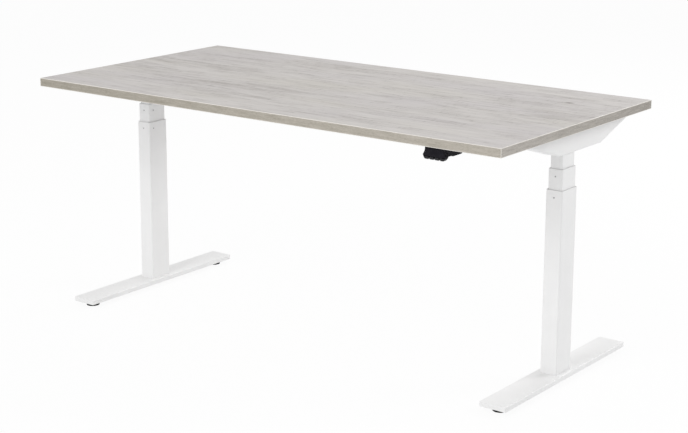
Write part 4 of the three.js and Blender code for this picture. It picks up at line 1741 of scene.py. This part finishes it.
@dataclass
class Handset:
    """Control under the front edge, with four keys along its nose."""

    palette: Palette
    moulds: Moulds
    corner: float = mm(3)
    plate_edge: float = mm(0.5)
    neck_half: float = mm(27.5)
    widest_half: float = mm(33.8)
    widest_drop: float = mm(20)
    toe_half: float = mm(32.4)
    nose_depth: float = mm(15)
    nose_drop: float = mm(24)
    nose_edge: float = mm(0.6)
    nose_rings: int = 16
    body_drop: float = mm(26.5)
    body_rings: int = 26
    grip_drop: float = mm(24)
    grip_end: float = mm(34)
    belly_start: float = mm(46)
    tail_run: float = mm(9)
    tail_drop: float = mm(18)
    tail_corner: float = mm(4.5)
    lip_width: float = mm(0.85)
    lip_drop: float = mm(1.9)
    lip_setback: float = mm(0.3)
    wall: float = mm(2)
    room_drop: float = mm(21.5)
    room_setback: float = mm(3)
    stem_half: float = mm(3)
    stem_play: float = mm(0.5)
    key_side_round: tuple[float, float] = (mm(2.3), mm(3.2))
    key_outer_round: tuple[float, float] = (mm(6.4), mm(7.0))
    key_front_round: tuple[float, float] = (mm(3.0), mm(3.6))
    key_rear_round: tuple[float, float] = (mm(8.5), mm(7.2))
    key_play: float = mm(1.6)
    key_setback: float = mm(0.5)
    key_edge: float = mm(0.45)
    key_rings: int = 14
    flange_half: float = mm(4.5)
    flange_thickness: float = mm(1.5)
    flange_room: float = mm(2.5)
    post_radius: float = mm(2.5)
    post_sides: int = 24
    post_place: float = mm(21)
    post_setbacks: tuple[float, float] = (mm(21.5), mm(83.5))
    board_corner: float = mm(1.5)
    board_edge: float = mm(0.15)
    switch_half: float = mm(2.6)
    switch_height: float = mm(0.8)
    switch_edge: float = mm(0.2)

    def build(self) -> None:
        """Builds the plate, the housing, the keys and the board."""
        self.low, self.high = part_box("handset_housing")
        self.middle = (self.low[0] + self.high[0]) / 2
        self.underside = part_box("handset_plate")[1][2]
        self._plate()
        self._housing()
        for key in KEYS:
            kind = "memory_key" if "memory" in key else key
            piece = self.moulds.cast(kind, f"{key}_cap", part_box(key)[0], partial(self._key, key))
            piece.finish(self.palette.keys, f"{key}_body", key, 40.0)
        self._board()

    def _plate(self) -> None:
        """Mounting plate against the desktop's underside, in a darker plastic that paints the
        shadow under the desktop's edge.
        """
        plate = Workpiece.plate("handset_mount", *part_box("handset_plate"), self.corner, 5)
        plate.soften(self.plate_edge, 3).finish(self.palette.plate, DESK, "handset_plate")

    def _half_width(self, level: float) -> float:
        """Half of the nose's width: narrow under the plate, widest above the keys.

        Args:
            level: The level that is asked about.

        Returns:
            The half width there.
        """
        widest = self.underside - self.widest_drop
        if level >= widest:
            share = (self.high[2] - level) / (self.high[2] - widest)
            return self.neck_half + (self.widest_half - self.neck_half) * share**2
        share = (widest - level) / (self.nose_drop - self.widest_drop)
        return self.widest_half + (self.toe_half - self.widest_half) * share**2

    def _belly(self, distance: float) -> float:
        """Drop of the body's underside below the desktop.

        Args:
            distance: How far behind the front face.

        Returns:
            The drop there.
        """
        depth = self.high[1] - self.low[1]
        tail = max(0.0, (distance - depth + self.tail_run) / self.tail_run)
        rise = min(max((distance - self.grip_end) / (self.belly_start - self.grip_end), 0.0), 1.0)
        smooth = rise * rise * (3 - 2 * rise)
        drop = self.grip_drop + (self.body_drop - self.grip_drop) * smooth
        return drop - tail**2 * (self.body_drop - self.tail_drop)

    def _nose(self, name: str, inset: float = 0.0) -> Workpiece:
        """Front part, which swells sideways towards the keys.

        Args:
            name: Its name.
            inset: The wall round it, where it is the room inside the nose.

        Returns:
            The nose, or the room.
        """
        bottom = self.underside - self.nose_drop + inset
        top = self.high[2] + (PAST if inset else 0.0)
        nose = Workpiece.block(
            name,
            (self.middle - self.neck_half, self.low[1] + inset, bottom),
            (self.middle + self.neck_half, self.low[1] + self.nose_depth - inset, top),
        )
        rings = self.nose_rings
        nose.ring_cuts([bottom + (top - bottom) * step / rings for step in range(1, rings)])

        def flare(point: Vector) -> Vector:
            """Moves a point out to the nose's width at its level."""
            wide = (self._half_width(point.z) - inset) / self.neck_half
            return Vector((self.middle + (point.x - self.middle) * wide, point.y, point.z))

        return nose.reshape(flare)

    def _body(self) -> Workpiece:
        """Rear part, with a shallow finger recess behind the nose.

        Returns:
            The rear part.
        """
        start, end = self.low[1] + self.nose_depth - PAST, self.high[1]
        bottom = self.underside - self.body_drop
        body = Workpiece.block(
            "body",
            (self.middle - self.neck_half, start, bottom),
            (self.middle + self.neck_half, end, self.high[2]),
        )
        rings = self.body_rings
        body.ring_cuts([start + (end - start) * step / rings for step in range(1, rings)], "Y")

        def hollow(point: Vector) -> Vector:
            """Moves a point of the underside to the belly's line.

            Args:
                point: Any point of the body.

            Returns:
                Its new place.
            """
            if point.z > bottom + mm(1):
                return point
            return Vector((point.x, point.y, self.underside - self._belly(point.y - self.low[1])))

        return body.reshape(hollow).bevel(self.tail_corner, 6, upright_edges("Y", end, mm(1)))

    def _housing(self) -> None:
        """Case made of the nose and the body, with a room for the board and slots for the stems."""
        low, high = self.low, self.high
        case = self._nose("handset_case").weld(self._body())
        bottom, floor = self.underside - self.nose_drop, self.underside - self.room_drop
        front, back = low[1] + self.lip_setback, low[1] + self.nose_depth - self.lip_setback
        for x in (self.middle - self.toe_half, self.middle + self.toe_half - self.lip_width):
            lip_low = (x, front, bottom - self.lip_drop)
            case.weld(Workpiece.block("lip", lip_low, (x + self.lip_width, back, bottom + PAST)))
        case.soften(self.nose_edge, 4, angle=50.0)
        half = self.neck_half - self.wall
        room = Workpiece.block(
            "room",
            (self.middle - half, low[1] + self.room_setback, floor),
            (self.middle + half, high[1] - self.wall, high[2] + PAST),
        )
        case.cut(room).cut(self._nose("nose_room", self.wall))
        post_low, post_high = floor - PAST / 2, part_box("handset_board")[0][2]
        for x in (self.middle - self.post_place, self.middle + self.post_place):
            for y in self.post_setbacks:
                base = (x, low[1] + y, post_low)
                height = post_high - post_low
                post = Workpiece.disc("post", self.post_radius, base, height, self.post_sides)
                case.weld(post)
        for key in KEYS:
            half = self.stem_half + self.stem_play
            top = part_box(key)[1][2] + self.flange_room
            case.cut(Workpiece.bar("slot", self._stem_axis(key), half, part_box(key)[0][2], top))
        case.finish(self.palette.black, DESK, "handset_housing", 40.0)

    def _stem_axis(self, key: str) -> tuple[float, float]:
        """Place of a key's stem."""
        low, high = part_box(key)
        return (low[0] + high[0]) / 2, self.low[1] + self.nose_depth / 2

    def _key(self, node: str) -> Workpiece:
        """Finger lobe under the nose, on a short stem with a flange that keeps it in.

        Args:
            node: Its CAD node.

        Returns:
            The key.
        """
        low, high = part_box(node)
        top = self.underside - self.nose_drop - self.key_play
        rear = low[1] + self.nose_depth - self.key_setback
        left_round = self.key_outer_round if node == KEYS[0] else self.key_side_round
        right_round = self.key_outer_round if node == KEYS[-1] else self.key_side_round
        key = Workpiece.block("key", low, (high[0], rear, top))
        rings = self.key_rings
        key.ring_cuts([low[2] + (top - low[2]) * (step / rings) ** 1.5 for step in range(1, rings)])

        def pulled_in(level: float, size: tuple[float, float]) -> float:
            """How far an elliptic round pulls a side in at a level."""
            share = min(max(1 - (level - low[2]) / size[1], 0.0), 1.0)
            return size[0] * (1 - math.sqrt(1 - share**2))

        def rounded(point: Vector) -> Vector:
            """Moves a point in to the rounds of the sides that it is on.

            Args:
                point: A point of the key's skin.

            Returns:
                Its new place.
            """
            level, shift = point.z, Vector()
            on_left, on_front = point.x < (low[0] + high[0]) / 2, point.y < (low[1] + rear) / 2
            shift.x = pulled_in(level, left_round) if on_left else -pulled_in(level, right_round)
            front, back = self.key_front_round, self.key_rear_round
            shift.y = pulled_in(level, front) if on_front else -pulled_in(level, back)
            return point + shift

        key.reshape(rounded).soften(self.key_edge, 4, angle=50.0)
        axis, flange_low = self._stem_axis(node), high[2] - self.flange_thickness
        stem = Workpiece.bar("stem", axis, self.stem_half, top - PAST, high[2])
        stem.weld(Workpiece.bar("flange", axis, self.flange_half, flange_low, high[2]))
        return key.weld(stem)

    def _board(self) -> None:
        """Circuit board with a switch over each key's stem."""
        low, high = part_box("handset_board")
        board = Workpiece.plate("handset_circuit", low, high, self.board_corner)
        board.soften(self.board_edge, 1).finish(self.palette.board, DESK, "handset_board")
        half = self.switch_half
        for key in KEYS:
            x, y = self._stem_axis(key)
            place = (min(max(x, low[0] + half), high[0] - half), y, low[2])
            name = key.replace("key", "handset_switch")
            switch = self.moulds.cast("switch", name, place, partial(self._switch, place))
            switch.finish(self.palette.black, DESK)

    def _switch(self, place: Sequence[float]) -> Workpiece:
        """Push switch that hangs from the board."""
        low, half = place[2] - self.switch_height, self.switch_half
        return Workpiece.bar("switch", place, half, low, place[2]).soften(self.switch_edge)


class Socket(Enum):
    """Openings in the control box's rear wall: offset along X, width and height in millimetres."""

    MAINS = (-51.0, 28.0, 20.0)
    LEFT_MOTOR = (0.0, 14.0, 12.0)
    RIGHT_MOTOR = (34.0, 14.0, 12.0)
    HANDSET = (68.0, 14.0, 12.0)

    @property
    def contacts(self) -> tuple[tuple[float, float], ...]:
        """Each contact's offset along X and Z from the opening's middle, in millimetres."""
        pins = tuple((x, z) for x in (-3.6, 0.0, 3.6) for z in (-2.4, 2.4))
        return ((-7.0, -1.5), (7.0, -1.5), (0.0, 2.5)) if self is Socket.MAINS else pins

    @property
    def contact_size(self) -> tuple[float, float]:
        """A contact's width and height in millimetres."""
        return (2.0, 5.0) if self is Socket.MAINS else (0.9, 0.9)


@dataclass
class ControlBox:
    """Case under the desktop that drives the motors."""

    palette: Palette
    moulds: Moulds
    corner: float = mm(5)
    wall: float = mm(2.5)
    bottom_edge: float = mm(2)
    case_edge: float = mm(0.5)
    socket_wall: float = mm(14)
    socket_depth: float = mm(10)
    contact_length: float = mm(8)
    contact_edge: float = mm(0.25)
    tab: tuple[float, float] = (mm(18), mm(30))
    tab_corner: float = mm(5)
    post_radius: float = mm(4)
    post_height: float = mm(8)
    post_inset: float = mm(6)
    slot: tuple[float, float] = (mm(3), mm(60))
    slot_pitch: float = mm(9)
    slot_count: int = 7
    lid_edge: float = mm(1)
    slot_edge: float = mm(0.3)
    board_corner: float = mm(2)
    board_edge: float = mm(0.15)
    can_outline: tuple[tuple[float, float], ...] = (
        (mm(8), 0.0),
        (mm(8), mm(19)),
        (mm(7.4), mm(20)),
        (mm(8), mm(21)),
        (mm(8), mm(22)),
    )
    can_edge: float = mm(0.6)
    can_setback: float = mm(30)
    can_pitch: float = mm(20)
    can_count: int = 3
    relay_size: tuple[float, float, float] = (mm(19), mm(15), mm(15))
    relay_edge: float = mm(0.7)
    relay_panel: tuple[float, float] = (mm(1.5), mm(0.4))
    relay_setback: tuple[float, float] = (mm(60), mm(24))
    relay_pitch: float = mm(26)
    relay_count: int = 2
    screw: Screw = Screw(mm(3), mm(2), Drive.CROSS, mm(2.5))
    screw_head: float = mm(4.5)
    screw_play: float = mm(0.3)

    def build(self) -> None:
        """Builds the case with its sockets, the lid, the board and the screws."""
        self.low, self.high = (Vector(corner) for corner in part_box("control_box_housing"))
        self.middle = (self.low + self.high) / 2
        self._housing()
        self._contacts()
        self._lid()
        self._board()
        half = self.tab[0] / 2
        for side, x in (("left", self.low.x + half), ("right", self.high.x - half)):
            model = partial(self._tab_screw, x)
            screw = self.moulds.cast("tab_screw", f"control_box_screw_{side}", (x, 0.0, 0.0), model)
            screw.finish(self.palette.zinc, DESK, angle=50.0)

    def _housing(self) -> None:
        """Case, open below, with two tabs, board posts and four sockets."""
        low, high = self.low + Vector((self.tab[0], 0, 0)), self.high - Vector((self.tab[0], 0, 0))
        case = Workpiece.plate("control_box_case", low, high, self.corner)
        case.bevel(self.bottom_edge, 4, level_edges(low.z))
        room_low = low + Vector((self.wall, self.wall, -PAST))
        room_high = high - Vector((self.wall, self.socket_wall, self.wall))
        case.cut(Workpiece.plate("room", room_low, room_high, self.corner - self.wall))
        half = self.tab[1] / 2
        for x, inner in ((self.low.x, low.x + self.wall), (self.high.x, high.x - self.wall)):
            start, stop = sorted((x, inner))
            tab_low = (start, self.middle.y - half, high.z - self.wall)
            tab = Workpiece.block("tab", tab_low, (stop, self.middle.y + half, high.z))
            tab.bevel(self.tab_corner, 5, upright_edges("X", x))
            hole = (x + math.copysign(self.tab[0] / 2, self.middle.x - x), self.middle.y)
            radius = self.screw.shank_radius + self.screw_play
            case.weld(tab.drill(radius, hole, high.z - SHEET_DRILL, high.z + PAST))
        top, bottom = high.z - self.wall / 2, high.z - self.wall - self.post_height
        for x, y in self._post_places():
            post_low, height = (x, y, bottom), top - bottom
            case.weld(Workpiece.disc("post", self.post_radius, post_low, height, ROUND_SIDES))
        for socket in Socket:
            case.cut(self._opening(socket))
        case.soften(self.case_edge, 3).finish(self.palette.black, DESK, "control_box_housing")

    def _post_places(self) -> list[tuple[float, float]]:
        """Axes of the board's posts.

        Returns:
            Each axis's place along X and Y.
        """
        (left, front, _), (right, rear, _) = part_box("control_box_board")
        across = (left + self.post_inset, right - self.post_inset)
        return [(x, y) for x in across for y in (front + self.post_inset, rear - self.post_inset)]

    def _opening(self, socket: Socket) -> Workpiece:
        """Tool that cuts a socket into the rear wall.

        Args:
            socket: The socket.

        Returns:
            The tool.
        """
        offset, width, height = (mm(size) for size in socket.value)
        x, mains = self.middle.x + offset, socket is Socket.MAINS
        opening = Workpiece.block(
            "opening",
            (x - width / 2, self.high.y - self.socket_depth, self.middle.z - height / 2),
            (x + width / 2, self.high.y + PAST, self.middle.z + height / 2),
        )

        def on_corner(middle: Vector, direction: Vector) -> bool:
            """Picks the upper corners of the mains inlet, or every corner of a plug's socket."""
            return abs(direction.y) > 0.9 and (not mains or middle.z > self.middle.z)

        return opening.bevel(mm(3 if mains else 1), 4, on_corner)

    def _contacts(self) -> None:
        """Metal blades and pins in each socket."""
        for socket in Socket:
            kind = "mains_contacts" if socket is Socket.MAINS else "plug_contacts"
            place = (self.middle.x + mm(socket.value[0]), 0.0, 0.0)
            name = f"control_box_contacts_{socket.name.lower()}"
            contacts = self.moulds.cast(kind, name, place, partial(self._blades, socket))
            contacts.finish(self.palette.zinc, DESK)

    def _blades(self, socket: Socket) -> Workpiece:
        """Contacts of one socket, as loose parts of one mesh.

        Args:
            socket: The socket.

        Returns:
            The contacts.
        """
        width, height = socket.contact_size
        (across, up), *others = socket.contacts
        x, z = self.middle.x + mm(socket.value[0] + across), self.middle.z + mm(up)
        start = self.high.y - self.socket_depth
        half = Vector((mm(width) / 2, 0, mm(height) / 2))
        tip = Vector((x, start + self.contact_length, z)) + half
        blade = Workpiece.block("contact", Vector((x, start - PAST, z)) - half, tip)
        blade.bevel(self.contact_edge, 2, lambda middle, direction: near(middle.y, tip.y))
        for twin in [blade.copy("contact", (mm(x - across), 0.0, mm(z - up))) for x, z in others]:
            blade.join(twin)
        return blade

    def _lid(self) -> None:
        """Bottom plate with cooling slots."""
        low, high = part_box("control_box_lid")
        lid = Workpiece.plate("control_box_cover", low, high, self.corner)
        lid.bevel(self.lid_edge, 3, level_edges(low[2]))
        width, length = self.slot
        y = (low[1] + high[1]) / 2
        for index in range(self.slot_count):
            x = (low[0] + high[0]) / 2 + (index - (self.slot_count - 1) / 2) * self.slot_pitch
            slot_low = (x - width / 2, y - length / 2, low[2] - PAST)
            slot_high = (x + width / 2, y + length / 2, high[2] + PAST)
            lid.cut(Workpiece.plate("slot", slot_low, slot_high, width / 2 - mm(0.05), 4))
        lid.soften(self.slot_edge).finish(self.palette.black, DESK, "control_box_lid")

    def _board(self) -> None:
        """Circuit board with its capacitors and relays hanging from it."""
        low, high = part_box("control_box_board")
        board = Workpiece.plate("control_box_circuit", low, high, self.board_corner)
        board.soften(self.board_edge, 1).finish(self.palette.board, DESK, "control_box_board")
        middle_y = (low[1] + high[1]) / 2
        base = (low[0] + self.can_setback, middle_y, low[2] - self.can_outline[-1][1])
        can = Workpiece.turned("can", base, self.can_outline).soften(self.can_edge, 3)
        for number in range(self.can_count):
            twin = can.copy(f"control_box_capacitor_{number + 1}", (self.can_pitch * number, 0, 0))
            twin.finish(self.palette.black, DESK)
        x, y = high[0] - self.relay_setback[0], middle_y - self.relay_setback[1]
        width, depth, height = self.relay_size
        relay = Workpiece.block("relay", (x, y, low[2] - height), (x + width, y + depth, low[2]))
        frame_width, sunk = self.relay_panel
        relay.inset(frame_width, facing_down, -sunk).soften(self.relay_edge, 3)
        for number in range(self.relay_count):
            twin = relay.copy(f"control_box_relay_{number + 1}", (0, self.relay_pitch * number, 0))
            twin.finish(self.palette.black, DESK)
        for example in (can, relay):
            bpy.data.objects.remove(example.object)

    def _tab_screw(self, x: float) -> Workpiece:
        """Pan-head screw under a tab.

        Args:
            x: Its place along X.

        Returns:
            The screw.
        """
        head = self.screw.head_height
        base = (x, self.middle.y, self.high.z - self.wall - head)
        return self.screw.model("tab_screw", base, self.screw_head, head + self.wall)


# ---- Studio ----


@dataclass(frozen=True)
class Lamp:
    """A large soft area lamp that points at the desk."""

    name: str
    place: tuple[float, float, float]
    size: float
    watts: float

    def build(self, target: Vector) -> None:
        """Hangs the lamp.

        Args:
            target: The point that it is turned to.
        """
        data = bpy.data.lights.new(self.name, "AREA")
        data.shape = "DISK"
        data.size = self.size
        data.energy = self.watts
        lamp = bpy.data.objects.new(self.name, data)
        lamp.location = self.place
        lamp.rotation_euler = (target - Vector(self.place)).to_track_quat("-Z", "Y").to_euler()
        bpy.context.collection.objects.link(lamp)


@dataclass(frozen=True)
class Studio:
    """Pale floor, soft light and camera."""

    camera_place: tuple[float, float, float] = (2.8280, -3.7538, 1.5798)
    camera_turn: float = 36.705
    camera_dip: float = 13.542
    camera_roll: float = 0.22
    lens: float = 86.658
    shift: float = -0.05
    world_strength: float = 0.66
    floor_size: float = 60.0
    floor_white: float = 0.94
    lamps: tuple[Lamp, ...] = (
        Lamp("front_low", (0.0, -5.0, 2.2), 2.0, 41.0),
        Lamp("front_high", (0.0, -4.5, 4.0), 2.0, 56.0),
        Lamp("rear_right", (3.5, 3.5, 3.0), 2.0, 73.0),
        Lamp("rear", (0.0, 4.5, 3.0), 2.0, 42.0),
    )

    def build(self) -> None:
        """Builds the whole studio."""
        self._camera()
        self._world()
        self._floor()
        for lamp in self.lamps:
            lamp.build(Vector((0, 0, 0.5)))

    def _camera(self) -> None:
        """Camera at the chosen viewing angle."""
        data = bpy.data.cameras.new("camera")
        data.lens = self.lens
        data.shift_y = self.shift
        data.clip_end = 200.0
        camera = bpy.data.objects.new("camera", data)
        bpy.context.collection.objects.link(camera)
        camera.matrix_world = (
            Matrix.Translation(self.camera_place)
            @ Matrix.Rotation(math.radians(self.camera_turn), 4, "Z")
            @ Matrix.Rotation(math.radians(90 - self.camera_dip), 4, "X")
            @ Matrix.Rotation(math.radians(self.camera_roll), 4, "Z")
        )
        bpy.context.scene.camera = camera

    @staticmethod
    def _seen_directly(graph: Graph) -> Value:
        """Tells the rays that look straight at a surface from those that light it.

        Args:
            graph: The node tree.

        Returns:
            1 for camera, glossy and transmission rays, and 0 for others.
        """
        path = graph.node("ShaderNodeLightPath").socket.node
        kinds = ("Is Camera Ray", "Is Glossy Ray", "Is Transmission Ray")
        camera, glossy, transmission = (Value(graph, path.outputs[kind]) for kind in kinds)
        return (camera + glossy + transmission).clamped()

    def _world(self) -> None:
        """Even light, plain white where it is seen directly."""
        graph = Graph(bpy.data.worlds.new("studio"))
        glow, plain = (
            graph.node("ShaderNodeBackground", sockets={"Color": WHITE, "Strength": strength})
            for strength in (self.world_strength, 1.0)
        )
        seen = self._seen_directly(graph)
        graph.end_in(graph.node("ShaderNodeMixShader", sockets={0: seen, 1: glow, 2: plain}))
        bpy.context.scene.world = graph.owner

    def _floor(self) -> None:
        """White floor that keeps a trace of the desk's shadow, and is clear from below."""
        bpy.ops.object.select_all(action="DESELECT")
        bpy.ops.mesh.primitive_plane_add(size=self.floor_size, location=(0, 0, 0))
        floor = bpy.context.object
        floor.name = "studio_floor"
        graph = Graph.of_material("studio_floor")
        matte = graph.node("ShaderNodeBsdfDiffuse", sockets={"Color": (0.9, 0.9, 0.9)})
        white = graph.node("ShaderNodeEmission", sockets={"Color": WHITE, "Strength": 1.0})
        share = self._seen_directly(graph) * self.floor_white
        mixed = graph.node("ShaderNodeMixShader", sockets={0: share, 1: matte, 2: white})
        underneath = graph.node("ShaderNodeNewGeometry", output="Backfacing")
        clear = graph.node("ShaderNodeBsdfTransparent")
        graph.end_in(graph.node("ShaderNodeMixShader", sockets={0: underneath, 1: mixed, 2: clear}))
        floor.data.materials.append(graph.owner)


def main() -> None:
    """Builds the studio and every sub-assembly in order."""
    logging.basicConfig(level=logging.INFO, format="%(name)s: %(message)s")
    view = bpy.context.scene.view_settings
    view.view_transform = "Standard"
    Studio().build()
    palette, moulds = Palette(), Moulds()
    legs = [Leg(side, palette, moulds) for side in SIDES]
    others = [kind(palette, moulds) for kind in (Desktop, Handset, ControlBox)]
    for assembly in legs + others:
        assembly.build()
        log.info("finished %s", type(assembly).__name__)
    moulds.clear()


if __name__ == "__main__":
    main()
